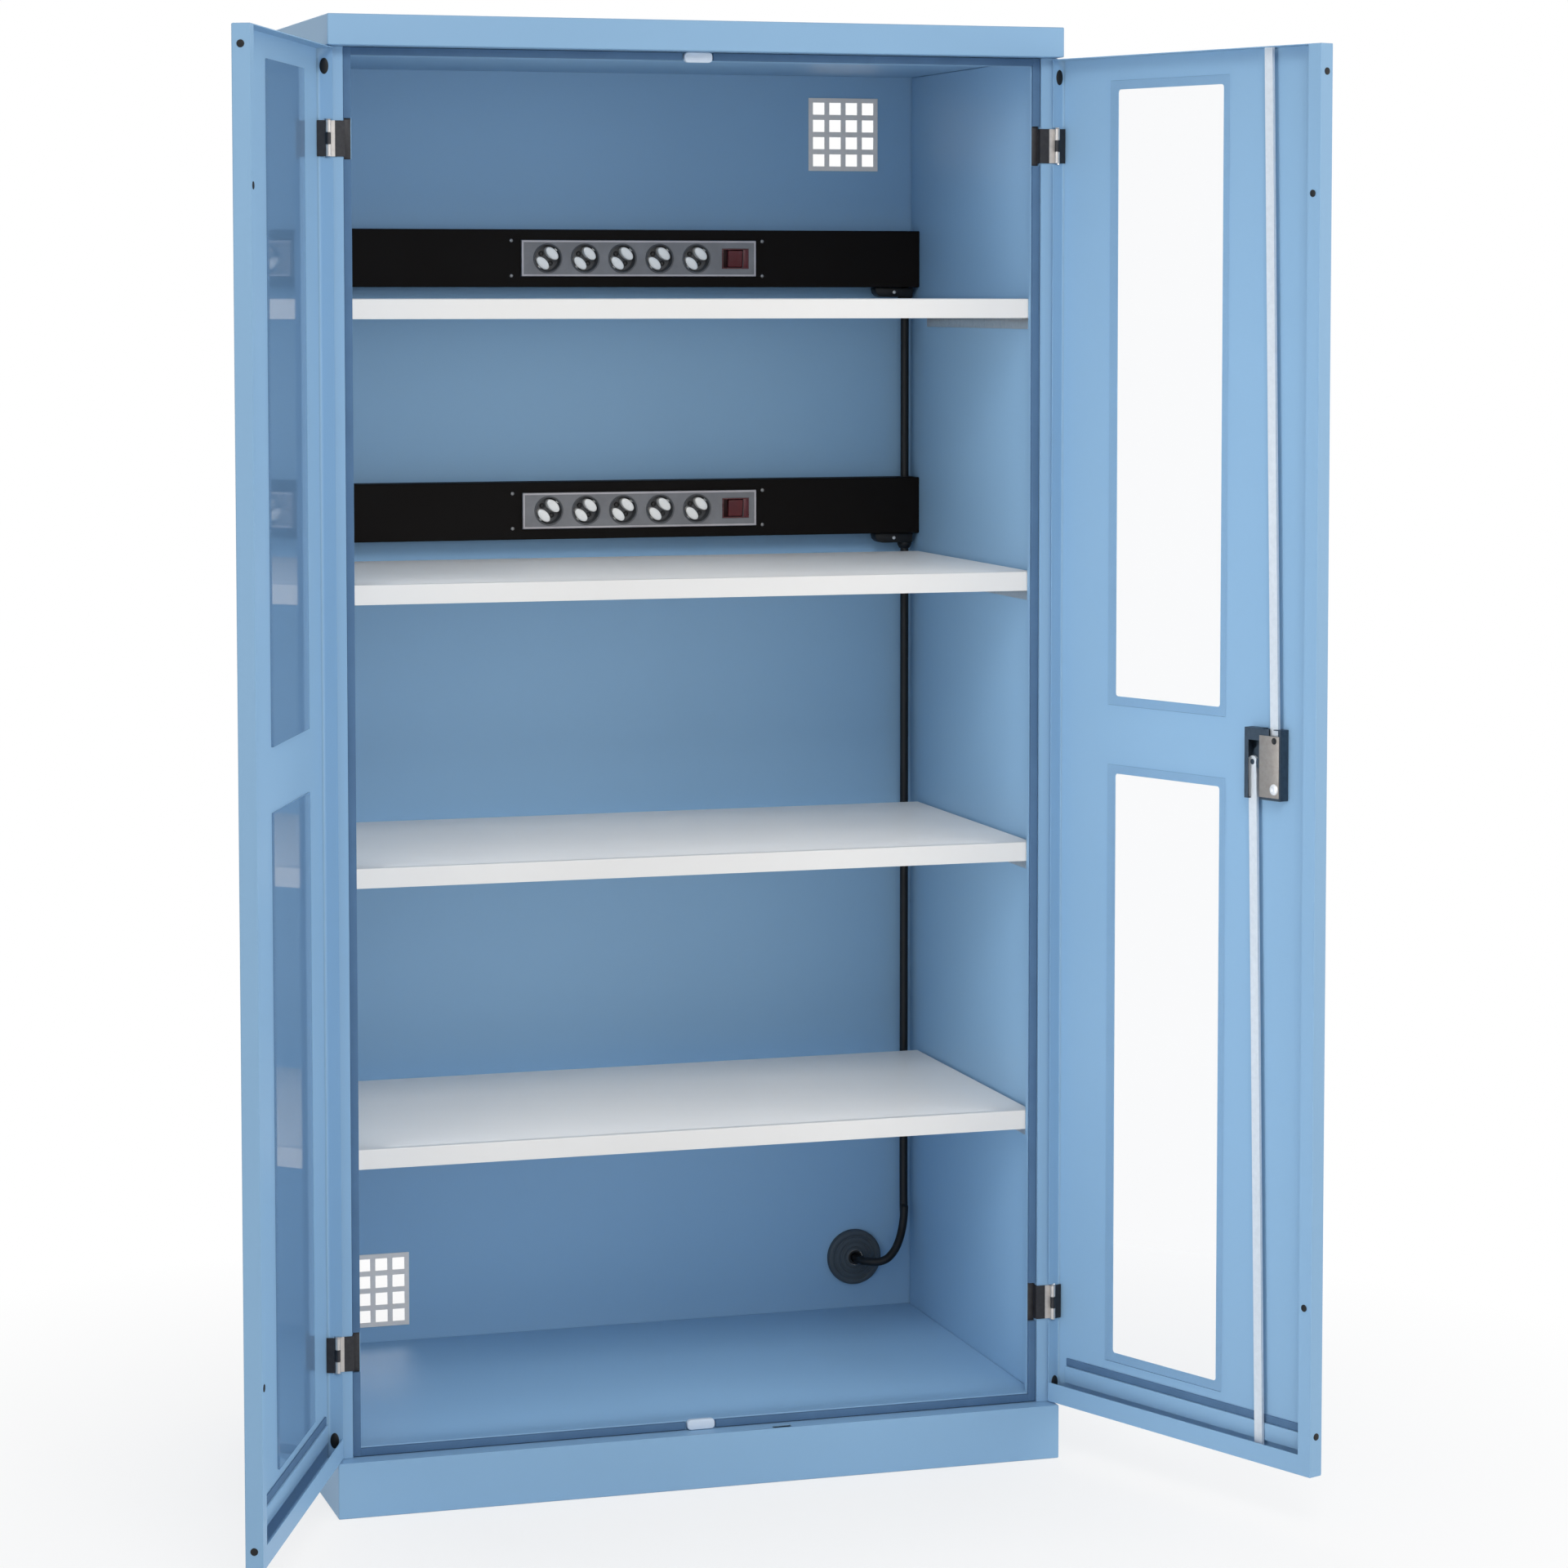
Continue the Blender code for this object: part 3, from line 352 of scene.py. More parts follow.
# finishes that only some pieces of a slot have
stuffs = {
    "cup": moulded("cupPlastic", {
        "colour": (0.085, 0.088, 0.094), "deep": (0.060, 0.062, 0.068), "gloss": (0.36, 0.48),
        "specular": 0.4, "grain": 1500.0, "bump": 0.08}),
    "lobe": moulded("lobePlastic", {
        "colour": (0.93, 0.92, 0.89), "deep": (0.89, 0.88, 0.85), "gloss": (0.20, 0.30), "specular": 0.6,
        "grain": 1200.0, "bump": 0.05}),
    # a pale grey frame line round the strip's face that paints its edge highlight: painted highlight
    "stripLine": moulded("stripLinePlastic", {
        "colour": (0.52, 0.49, 0.50), "deep": (0.44, 0.41, 0.43), "gloss": (0.30, 0.42), "specular": 0.5,
        "grain": 1300.0, "bump": 0.06}),
    # the left cheek is a darkened, duller copy of the right cheek's red: painted shade
    "leftCheek": moulded("shadedRedPlastic", {
        "colour": (0.020, 0.002, 0.003), "deep": (0.014, 0.002, 0.002), "gloss": (0.26, 0.38),
        "specular": 0.1, "grain": 1000.0, "bump": 0.05}),
    "rightCheek": moulded("wineRedPlastic", {
        "colour": (0.105, 0.009, 0.014), "deep": (0.080, 0.007, 0.011), "gloss": (0.26, 0.38),
        "specular": 0.4, "grain": 1000.0, "bump": 0.05}),
    "catch": moulded("catchPlastic", {
        "colour": (0.72, 0.80, 0.90), "deep": (0.66, 0.74, 0.84), "gloss": (0.34, 0.46), "specular": 0.4,
        "grain": 1200.0, "bump": 0.06}),
    "bezel": moulded("bezelPlastic", {
        "colour": (0.100, 0.010, 0.014), "deep": (0.070, 0.007, 0.010), "gloss": (0.22, 0.34),
        "specular": 0.5, "grain": 1000.0, "bump": 0.05}),
    # dark blue for the sealing strips, standing for shade in the rebate and above the doors' lips: painted
    # shade
    "seal": moulded("foamSeal", {
        "colour": (0.098, 0.188, 0.320), "deep": (0.084, 0.164, 0.285), "gloss": (0.66, 0.82),
        "specular": 0.2, "grain": 2200.0, "bump": 0.22}),
    "nickel": zinced("nickelScrew", {
        "colour": (0.72, 0.72, 0.70), "deep": (0.62, 0.62, 0.61), "metallic": 0.6, "gloss": (0.24, 0.36),
        "grain": 1200.0, "bump": 0.05}),
    "dullScrew": zinced("dullScrewSteel", {
        "colour": (0.300, 0.300, 0.300), "deep": (0.240, 0.240, 0.240), "metallic": 0.4,
        "gloss": (0.34, 0.46), "grain": 1200.0, "bump": 0.05}),
    # near-white so the lock's screw head shows as a bright spot: painted highlight
    "brightNickel": zinced("brightNickel", {
        "colour": (0.93, 0.94, 0.96), "deep": (0.88, 0.89, 0.91), "metallic": 0.3, "gloss": (0.18, 0.28),
        "grain": 1200.0, "bump": 0.03}),
    "lockShell": zinced("lockShellSteel", {
        "colour": (0.050, 0.078, 0.110), "deep": (0.034, 0.054, 0.080), "metallic": 0.3,
        "gloss": (0.38, 0.52), "grain": 700.0, "bump": 0.06}),
    "lockPlate": zinced("lockPlateSteel", {
        "colour": (0.360, 0.330, 0.300), "deep": (0.300, 0.270, 0.245), "metallic": 0.35,
        "gloss": (0.34, 0.48), "grain": 800.0, "bump": 0.08}),
    "rod": zinced("rodSteel", {
        "colour": (0.74, 0.79, 0.84), "deep": (0.68, 0.73, 0.78), "metallic": 0.15, "gloss": (0.30, 0.42),
        "grain": 800.0, "bump": 0.05}),
    "knuckle": zinced("knuckleSteel", {
        "colour": (0.60, 0.57, 0.54), "deep": (0.52, 0.49, 0.47), "metallic": 0.5, "gloss": (0.34, 0.48),
        "grain": 900.0, "bump": 0.06}),
    # near-black steel that paints the shade of the hinge slots: painted shade
    "darkLeaf": zinced("blackenedSteel", {
        "colour": (0.030, 0.030, 0.034), "deep": (0.018, 0.018, 0.022), "metallic": 0.3,
        "gloss": (0.42, 0.56), "grain": 900.0, "bump": 0.08}),
}
print("materials made:", len(looks) + len(stuffs))


# angles and distances that the pieces share
making = {
    "sharp": math.radians(35),
    "flat": math.radians(1),
    "fold": math.radians(50),
    "corner": 1.0,
    "alongShare": 0.9,
    "weld": 0.00002,
    "weldTurned": 0.000002,
    "easeShare": 0.45,
    "slender": 8.0,
}


# making pieces
def addPiece(bm, name, body, stuff, replaced=(), recalculate=True):
    if recalculate:
        bmesh.ops.recalc_face_normals(bm, faces=bm.faces)
    mesh = bpy.data.meshes.new(name)
    bm.to_mesh(mesh)
    bm.free()
    for material in stuff:
        mesh.materials.append(material)
    mesh.shade_smooth()
    mesh.set_sharp_from_angle(angle=making["sharp"])
    piece = bpy.data.objects.new(name, mesh)
    bpy.context.scene.collection.objects.link(piece)
    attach(piece, body)
    if replaced:
        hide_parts(*replaced)
    return piece


def camel(name):
    first, *rest = name.split("_")
    return first + "".join(word.capitalize() for word in rest)


def shortenHub(bm):
    # the hub ends just under the lock's front sheet
    space = doorSpace(1)
    for vert in bm.verts:
        local = space.inverted() @ vert.co
        if local.y > lock["hubFrom"]:
            local.y = lock["hubEnd"]
            vert.co = space @ local


def roundEdges(bm, edges, offset, segments):
    bmesh.ops.bevel(bm, geom=edges, offset=offset, offset_type="OFFSET", segments=segments, profile=0.5,
                    affect="EDGES", clamp_overlap=True, material=-1)


def outerEdges(bm):
    return [edge for edge in bm.edges if edge.is_manifold and edge.is_convex
            and edge.calc_face_angle() > making["fold"]]


def softCopy(node, bend, rim, slender=making["slender"]):
    # the CAD piece with its folds rounded to a bend radius and its sheet edges eased
    bm = bmesh.new()
    bm.from_mesh(nodes[node].data)
    bmesh.ops.remove_doubles(bm, verts=bm.verts, dist=making["weld"])
    bmesh.ops.dissolve_limit(bm, angle_limit=making["flat"], verts=bm.verts, edges=bm.edges)
    meanWidth = {face: 2 * face.calc_area() / sum(edge.calc_length() for edge in face.edges)
                 for face in bm.faces}
    folds = [edge for edge in outerEdges(bm)
             if min(meanWidth[face] for face in edge.link_faces) > bend * slender]
    if bend and folds:
        roundEdges(bm, folds, bend, segments=3)
    rims = outerEdges(bm)
    if rim and rims:
        roundEdges(bm, rims, rim, segments=1)
    bmesh.ops.connect_verts_concave(bm, faces=bm.faces)
    if node == "rod_cam":
        shortenHub(bm)
    slotName = slotOf[node]
    piece = addPiece(bm, camel(node), bodyOf[node], [looks[slotName]], (node,), recalculate=False)
    settle = piece.modifiers.new("flatFaces", "WEIGHTED_NORMAL")
    settle.keep_sharp = True
    return piece


# bend radius and rim easing of each kind of piece, and for solid ones how many bend radii wide the faces
# beside a fold have to be; the first name that a node's name begins or ends with counts
softening = {
    "plinth": (0.0018, 0.0002),
    "floor_deck": (0.0014, 0.0002),
    "roof": (0.0018, 0.0002),
    "back_panel": (0.0, 0.0002),
    "side_panel": (0.0018, 0.0002),
    "inner_wall": (0.0012, 0.0002),
    "vent_grille": (0.0, 0.0003),
    "rail": (0.0012, 0.0002),
    "door": (0.0018, 0.0002),
    "pane": (0.0, 0.0004),
    "leaf": (0.0, 0.0003),
    "pin": (0.0, 0.0003),
    "rod_cam": (0.0, 0.0004),
    "rod": (0.0, 0.0006),
    "turn_handle": (0.0040, 0.0004, 2.0),
    "handle_rose": (0.0012, 0.0003, 1.6),
    "key_cylinder": (0.0, 0.0004),
    "power_panel": (0.0014, 0.0002),
    "socket_strip": (0.0012, 0.0004, 4.0),
    "rocker": (0.0012, 0.0004, 1.6),
    "shelf": (0.0022, 0.0002),
}


def softeningFor(node):
    return next(radii for kind, radii in softening.items() if node.endswith(kind) or node.startswith(kind))


# small shapes that several pieces share
def turned(bm, outline, centre, axis, steps):
    # spins a line of (out, along) points about an axis
    axis = Vector(axis).normalized()
    side = axis.orthogonal().normalized()
    line = [bm.verts.new(Vector(centre) + side * out + axis * along) for out, along in outline]
    chain = [bm.edges.new(pair) for pair in zip(line, line[1:])]
    bmesh.ops.spin(bm, geom=line + chain, cent=centre, axis=axis, angle=math.tau, steps=steps, use_merge=True,
                   use_duplicate=False)
    bmesh.ops.remove_doubles(bm, verts=bm.verts, dist=making["weldTurned"])


def cuboid(bm, low, high):
    verts = bmesh.ops.create_cube(bm, size=1.0)["verts"]
    bmesh.ops.scale(bm, vec=high - low, verts=verts)
    bmesh.ops.translate(bm, vec=(low + high) / 2, verts=verts)
    return verts


def block(bm, low, high, ease, space=None):
    # a box from corner to corner with eased edges
    verts = cuboid(bm, Vector(low), Vector(high))
    if space:
        bmesh.ops.transform(bm, matrix=space, verts=verts)
    roundEdges(bm, list({edge for vert in verts for edge in vert.link_edges}), ease, segments=2)


def alongEdges(verts, axis):
    # the edges of a fresh cuboid that run along one axis
    found = []
    for edge in {edge for vert in verts for edge in vert.link_edges}:
        run = edge.verts[1].co - edge.verts[0].co
        if abs(run[axis]) > making["alongShare"] * run.length:
            found.append(edge)
    return found


def cornerEdges(bm):
    return [edge for edge in bm.edges if edge.is_manifold and edge.calc_face_angle() > making["corner"]]


def raiseFaces(bm, faces, move):
    raised = bmesh.ops.extrude_face_region(bm, geom=faces)["geom"]
    verts = [item for item in raised if isinstance(item, bmesh.types.BMVert)]
    bmesh.ops.translate(bm, vec=move, verts=verts)


def ring(bm, centre, size, width, front, proud):
    # a rectangular frame line standing proud of a face that looks along -Y
    verts = bmesh.ops.create_grid(bm, x_segments=1, y_segments=1, size=0.5,
                                  matrix=Matrix.Rotation(math.pi / 2, 4, "X"))["verts"]
    bmesh.ops.scale(bm, vec=(size[0], 1, size[1]), verts=verts)
    bmesh.ops.translate(bm, vec=(centre[0], front, centre[1]), verts=verts)
    face = verts[0].link_faces[0]
    bmesh.ops.inset_region(bm, faces=[face], thickness=width, use_even_offset=True, use_boundary=True)
    border = [near for edge in face.edges for near in edge.link_faces if near is not face]
    bmesh.ops.delete(bm, geom=[face], context="FACES")
    raiseFaces(bm, border, (0, -proud, 0))
    rims = [edge for edge in cornerEdges(bm)
            if all(abs(vert.co.y - (front - proud)) < making["weld"] for vert in edge.verts)]
    roundEdges(bm, rims, proud * making["easeShare"], segments=2)


# socket strips: lipped round cups, two light lobes across each, pin collars, earth clips, a pale edge line
# that paints the strip's edge highlight, the rocker's bezel and cheeks with the left cheek darkened as
# painted shade, and the screws that hold the panel
socketStrip = {
    "middles": {"upper": 1.644, "lower": 1.284},
    "front": 0.5182,
    "left": -0.121,
    "right": 0.227,
    "height": 0.052,
    "sockets": (-0.0825, -0.0275, 0.0275, 0.0825, 0.1375),
    "cup": ((0.0213, 0.0002), (0.0211, -0.0005), (0.0205, -0.0009), (0.0197, -0.0008), (0.0190, -0.0003),
            (0.0187, 0.0010), (0.0183, 0.0120), (0.0176, 0.0131), (0.0, 0.0131)),
    "cupSteps": 40,
    "lobe": ((0.0067, 0.0129), (0.0066, 0.0024), (0.0062, 0.0012), (0.0052, 0.0005), (0.0030, 0.0003),
             (0.0, 0.0003)),
    "lobeSteps": 28,
    "lobeOut": 0.0098,
    "lobeStretch": 1.72,
    "pin": ((0.0037, 0.0132), (0.0036, 0.0114), (0.0030, 0.0109), (0.0025, 0.0112), (0.0024, 0.0129),
            (0.0, 0.0129)),
    "pinSteps": 20,
    "pinOut": 0.0095,
    "clip": ((-0.0005, 0.0008, -0.0022), (0.0003, 0.0085, 0.0022)),
    "clipOut": 0.0176,
    "clipEase": 0.0002,
    "lineWidth": 0.0026,
    "lineInset": 0.0012,
    "lineProud": 0.0006,
    "rocker": 0.1955,
    "bezel": (0.0400, 0.0290),
    "bezelWidth": 0.0018,
    "bezelProud": 0.0012,
    "cheeks": {"left": (-0.0184, -0.0118), "right": (0.0118, 0.0184)},
    "cheekRise": 0.0128,
    "cheekProud": 0.0008,
    "cheekEase": 0.0003,
    "screws": (-0.135, 0.237),
    "screwRise": 0.0250,
    "panelFront": 0.5222,
    "screwHead": ((0.0026, 0.0002), (0.0026, -0.0005), (0.0023, -0.0011), (0.0017, -0.0015),
                  (0.0010, -0.0016), (0.0009, -0.0007), (0.0, -0.0007)),
    "screwSteps": 20,
}


def dressStrip(level):
    strip = socketStrip
    middle, front = strip["middles"][level], strip["front"]
    turn = Matrix.Rotation(math.pi / 4, 4, "Y")
    stretch = Matrix.Diagonal((strip["lobeStretch"], 1, 1, 1))
    cups, lobes, pins, clips = (bmesh.new() for _ in range(4))
    for x in strip["sockets"]:
        centre = Vector((x, front, middle))
        turned(cups, strip["cup"], centre, (0, 1, 0), strip["cupSteps"])
        for sign in (-1, 1):
            diagonal = Vector((sign, 0, sign)).normalized()
            across = Vector((sign, 0, -sign)).normalized()
            known = set(lobes.verts)
            seat = centre + diagonal * strip["lobeOut"]
            turned(lobes, strip["lobe"], seat, (0, 1, 0), strip["lobeSteps"])
            lobe = [vert for vert in lobes.verts if vert not in known]
            slide = Matrix.Translation(seat)
            squeeze = slide @ turn @ stretch @ turn.inverted() @ slide.inverted()
            bmesh.ops.transform(lobes, matrix=squeeze, verts=lobe)
            turned(pins, strip["pin"], centre + across * strip["pinOut"], (0, 1, 0), strip["pinSteps"])
            seat = Matrix.Translation(centre + diagonal * strip["clipOut"]) @ turn.inverted()
            block(clips, *strip["clip"], strip["clipEase"], seat)
    addPiece(cups, level + "SocketCups", "cabinet", [stuffs["cup"]])
    addPiece(lobes, level + "SocketLobes", "cabinet", [stuffs["lobe"]])
    addPiece(pins, level + "PinCollars", "cabinet", [looks["black_plastic"]])
    addPiece(clips, level + "EarthClips", "cabinet", [stuffs["nickel"]])
    # the pale edge line is a painted highlight along the strip's edge
    line = bmesh.new()
    span = strip["right"] - strip["left"] - strip["lineInset"]
    ring(line, ((strip["left"] + strip["right"]) / 2, middle), (span, strip["height"] - strip["lineInset"]),
         strip["lineWidth"], front, strip["lineProud"])
    addPiece(line, level + "StripEdgeLine", "cabinet", [stuffs["stripLine"]])
    bezel = bmesh.new()
    ring(bezel, (strip["rocker"], middle), strip["bezel"], strip["bezelWidth"], front, strip["bezelProud"])
    addPiece(bezel, level + "RockerBezel", "cabinet", [stuffs["bezel"]])
    # the left cheek takes the darkened red, which is painted shade
    for word, (start, stop) in strip["cheeks"].items():
        cheek = bmesh.new()
        low = (strip["rocker"] + start, front - strip["cheekProud"], middle - strip["cheekRise"])
        high = (strip["rocker"] + stop, front, middle + strip["cheekRise"])
        block(cheek, low, high, strip["cheekEase"])
        addPiece(cheek, level + "RockerCheek" + word.capitalize(), "cabinet",
                 [stuffs[word + "Cheek"]])
    screws = bmesh.new()
    for x in strip["screws"]:
        for sign in (-1, 1):
            seat = (x, strip["panelFront"], middle + sign * strip["screwRise"])
            turned(screws, strip["screwHead"], seat, (0, 1, 0), strip["screwSteps"])
    addPiece(screws, level + "PanelScrews", "cabinet", [stuffs["dullScrew"]])


# cable glands under the panels: a block with one big slant, a collar round the cable and its clamping screw
gland = {
    "low": (0.4130, 0.5317, -0.0143),
    "high": (0.4708, 0.5553, -0.0003),
    "slant": 0.0112,
    "slantWithin": 0.001,
    "ease": 0.0012,
    "cable": (0.462, 0.5435),
    "collar": ((0.0064, -0.0100), (0.0104, -0.0140), (0.0106, -0.0165), (0.0098, -0.0190), (0.0082, -0.0222),
               (0.0068, -0.0230), (0.0061, -0.0222), (0.0061, -0.0150)),
    "collarSteps": 32,
    "screwX": 0.4417,
    "screwRise": -0.0072,
    "screw": ((0.0026, 0.0002), (0.0025, -0.0008), (0.0019, -0.0014), (0.0009, -0.0015), (0.0008, -0.0008),
              (0.0, -0.0008)),
    "screwSteps": 16,
    "under": {"upper": 1.603, "lower": 1.243},
}


def makeGland(level):
    under = gland["under"][level]
    low, high = (Vector(gland[end]) + Vector((0, 0, under)) for end in ("low", "high"))
    bm = bmesh.new()
    verts = cuboid(bm, low, high)
    slant = [edge for edge in alongEdges(verts, 1)
             if all(max(vert.co.x - low.x, vert.co.z - low.z) < gland["slantWithin"] for vert in edge.verts)]
    roundEdges(bm, slant, gland["slant"], segments=3)
    roundEdges(bm, cornerEdges(bm), gland["ease"], segments=2)
    turned(bm, gland["collar"], (*gland["cable"], under), (0, 0, 1), gland["collarSteps"])
    addPiece(bm, level + "Gland", "cabinet", [looks["black_rubber"]],
             (level + "_cable_gland",))
    screw = bmesh.new()
    seat = (gland["screwX"], gland["low"][1], under + gland["screwRise"])
    turned(screw, gland["screw"], seat, (0, 1, 0), gland["screwSteps"])
    addPiece(screw, level + "GlandScrew", "cabinet", [stuffs["nickel"]])


# cables, smooth along the same routes as the solids; the bend's points are shares of its reach across, out
# from the wall and up
cables = {
    "radius": 0.006,
    "link": [(0.462, 0.5435, z) for z in (1.6085, 1.575, 1.464, 1.339, 1.3195)],
    "drop": [(0.462, 0.5435, z) for z in (1.2485, 1.215, 0.720, 0.270)],
    "bend": ((0.986, 0.228, 0.684), (0.903, 0.509, 0.414), (0.750, 0.825, 0.200), (0.556, 1.0, 0.060),
             (0.361, 1.0, 0.005), (0.181, 0.860, 0.0), (0.056, 0.509, 0.0)),
    "entry": [(0.390, 0.5635 - deep, 0.1625) for deep in (0.024, 0.012, 0.0)],
    "bendStart": (0.390, 0.5435, 0.1625),
    "bendReach": (0.072, 0.0285, 0.1075),
    "stepsEach": 8,
    "roundness": 6,
    "weld": 0.00001,
}


def smoothRoute(points, steps):
    # an even curve through every point
    ends = [2 * points[0] - points[1], *points, 2 * points[-1] - points[-2]]
    route = []
    for a, b, c, d in zip(ends, ends[1:], ends[2:], ends[3:]):
        for step in range(steps):
            t = step / steps
            route.append(0.5 * (2 * b + (c - a) * t + (2 * a - 5 * b + 4 * c - d) * t * t
                                + (3 * b - a - 3 * c + d) * t ** 3))
    return route + [points[-1]]


def makeCable(name, points, node):
    route = smoothRoute([Vector(point) for point in points], cables["stepsEach"])
    curve = bpy.data.curves.new(name, "CURVE")
    curve.dimensions = "3D"
    curve.bevel_depth = cables["radius"]
    curve.bevel_resolution = cables["roundness"]
    curve.use_fill_caps = True
    spline = curve.splines.new("POLY")
    spline.points.add(len(route) - 1)
    for point, place in zip(spline.points, route):
        point.co = (*place, 1)
    drawn = bpy.data.objects.new(name + "Line", curve)
    bpy.context.scene.collection.objects.link(drawn)
    bpy.context.view_layer.update()
    bm = bmesh.new()
    bm.from_mesh(drawn.evaluated_get(bpy.context.evaluated_depsgraph_get()).to_mesh())
    bpy.data.objects.remove(drawn)
    bmesh.ops.remove_doubles(bm, verts=bm.verts, dist=cables["weld"])
    addPiece(bm, name, "cabinet", [looks["black_rubber"]], (node,))


# the rubber grommet in the back wall: stepped rings and a dark throat
grommet = {
    "centre": (0.390, 0.5635, 0.1625),
    "rings": ((0.0338, -0.0008), (0.0338, 0.0), (0.0409, 0.0), (0.0410, 0.0056), (0.0404, 0.0076),
              (0.0390, 0.0088), (0.0368, 0.0092), (0.0338, 0.0090), (0.0324, 0.0078), (0.0306, 0.0078),
              (0.0296, 0.0088), (0.0250, 0.0092), (0.0240, 0.0080), (0.0222, 0.0080), (0.0212, 0.0090),
              (0.0166, 0.0094), (0.0154, 0.0082), (0.0138, 0.0082), (0.0128, 0.0092), (0.0110, 0.0096)),
    "ringSteps": 64,
    "throat": ((0.0110, 0.0090), (0.0109, 0.0099), (0.0100, 0.0102), (0.0078, 0.0101), (0.0067, 0.0094),
               (0.0062, 0.0080), (0.0062, 0.0)),
    "throatSteps": 40,
}


def makeGrommet():
    bm = bmesh.new()
    turned(bm, grommet["rings"], grommet["centre"], (0, -1, 0), grommet["ringSteps"])
    addPiece(bm, "cableGrommet", "cabinet", [looks["grey_rubber"]], ("cable_grommet",))
    bm = bmesh.new()
    turned(bm, grommet["throat"], grommet["centre"], (0, -1, 0), grommet["throatSteps"])
    addPiece(bm, "grommetThroat", "cabinet", [looks["black_rubber"]])


# white door catches, rounded at their corners
catch = {"corner": 0.0052, "ease": 0.0012}


def makeCatch(level):
    low, high = (Vector(corner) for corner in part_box(level + "_door_catch"))
    bm = bmesh.new()
    verts = cuboid(bm, low, high)
    roundEdges(bm, alongEdges(verts, 1), catch["corner"], segments=5)
    roundEdges(bm, cornerEdges(bm), catch["ease"], segments=3)
    addPiece(bm, level + "DoorCatch", "cabinet", [stuffs["catch"]], (level + "_door_catch",))


# dark blue sealing strips round the opening whose colour paints the shade of the rebate, in runs that leave
# out the hinges and the catches
seal = {
    "posts": ((-0.4752, -0.4650), (0.4650, 0.4752)),
    "postRuns": ((0.0750, 0.1865), (0.2395, 1.7655), (1.8185, 1.9090)),
    "rebate": 0.0165,
    "stripRuns": ((-0.4650, -0.0240), (0.0180, 0.4650)),
    "stripHeights": ((0.0750, 0.0848), (1.8992, 1.9090)),
    "thick": 0.0050,
    "ease": 0.0003,
}


def makeShadeSeal():
    runs = [(heights, across) for heights in seal["postRuns"] for across in seal["posts"]]
    runs += [(heights, across) for heights in seal["stripHeights"] for across in seal["stripRuns"]]
    bm = bmesh.new()
    for (low, high), (left, right) in runs:
        block(bm, (left, seal["rebate"] - seal["thick"], low), (right, seal["rebate"], high), seal["ease"])
    # the strips' dark blue is painted shade of the rebate
    addPiece(bm, "dustSeal", "cabinet", [stuffs["seal"]])


# on each door: a stiffening rail along the foot with a dark sealing strip above it that paints the shade band
# over the lip, and plugs in the drain, lip and edge holes
doorTrim = {
    "near": 0.0130,
    "far": 0.4660,
    "skin": -0.0153,
    "rail": (0.1022, 0.1250),
    "railProud": 0.0046,
    "foot": (0.1252, 0.1360),
    "footProud": 0.0022,
    "ease": 0.0012,
    "drainHeights": (0.100, 1.884),
    "drainStretch": 1.8,
    "edgeHeights": {-1: (0.100, 1.884), 1: (0.128, 1.873)},
    "lipHeights": (0.295, 1.720),
    "drainPlug": ((0.0058, 0.0002), (0.0056, -0.0006), (0.0044, -0.0014), (0.0024, -0.0018), (0.0, -0.0019)),
    "roundPlug": ((0.0047, 0.0002), (0.0046, -0.0004), (0.0036, -0.0007), (0.0016, -0.0009), (0.0, -0.0009)),
    "plugSteps": 24,
}


def makeDoorTrim(side):
    word = {-1: "left", 1: "right"}[side]
    space = doorSpace(side)
    rail, foot, plugs = bmesh.new(), bmesh.new(), bmesh.new()
    trim = doorTrim
    left, right = sorted((-side * trim["near"], -side * trim["far"]))
    for bm, part in ((rail, "rail"), (foot, "foot")):
        heights, proud = trim[part], trim[part + "Proud"]
        low = (left, trim["skin"], heights[0])
        high = (right, trim["skin"] + proud, heights[1])
        block(bm, low, high, min(trim["ease"], proud * making["easeShare"]), space)
    addPiece(rail, word + "DoorFootRail", word + "_door_body", [looks["blue_paint"]])
    # the foot strip's dark blue is painted shade above the lip
    addPiece(foot, word + "DoorFootSeal", word + "_door_body", [stuffs["seal"]])
    turn = space.to_3x3()
    across, outward = turn @ Vector((side, 0, 0)), turn @ Vector((0, -1, 0))
    for z in trim["drainHeights"]:
        known = set(plugs.verts)
        seat = space @ Vector((-side * plan["hingeInner"], plan["middle"], z))
        turned(plugs, trim["drainPlug"], seat, across, trim["plugSteps"])
        fresh = [vert for vert in plugs.verts if vert not in known]
        slide = Matrix.Translation((0, 0, z))
        stretch = Matrix.Diagonal((1, 1, trim["drainStretch"], 1))
        bmesh.ops.transform(plugs, matrix=slide @ stretch @ slide.inverted(), verts=fresh)
    for z in trim["edgeHeights"][side]:
        seat = space @ Vector((-side * plan["freeOuter"], plan["middle"], z))
        turned(plugs, trim["roundPlug"], seat, across, trim["plugSteps"])
    for z in trim["lipHeights"]:
        seat = space @ Vector((-side * plan["lip"], plan["mouth"], z))
        turned(plugs, trim["roundPlug"], seat, outward, trim["plugSteps"])
    addPiece(plugs, word + "DoorPlugs", word + "_door_body", [looks["black_rubber"]])


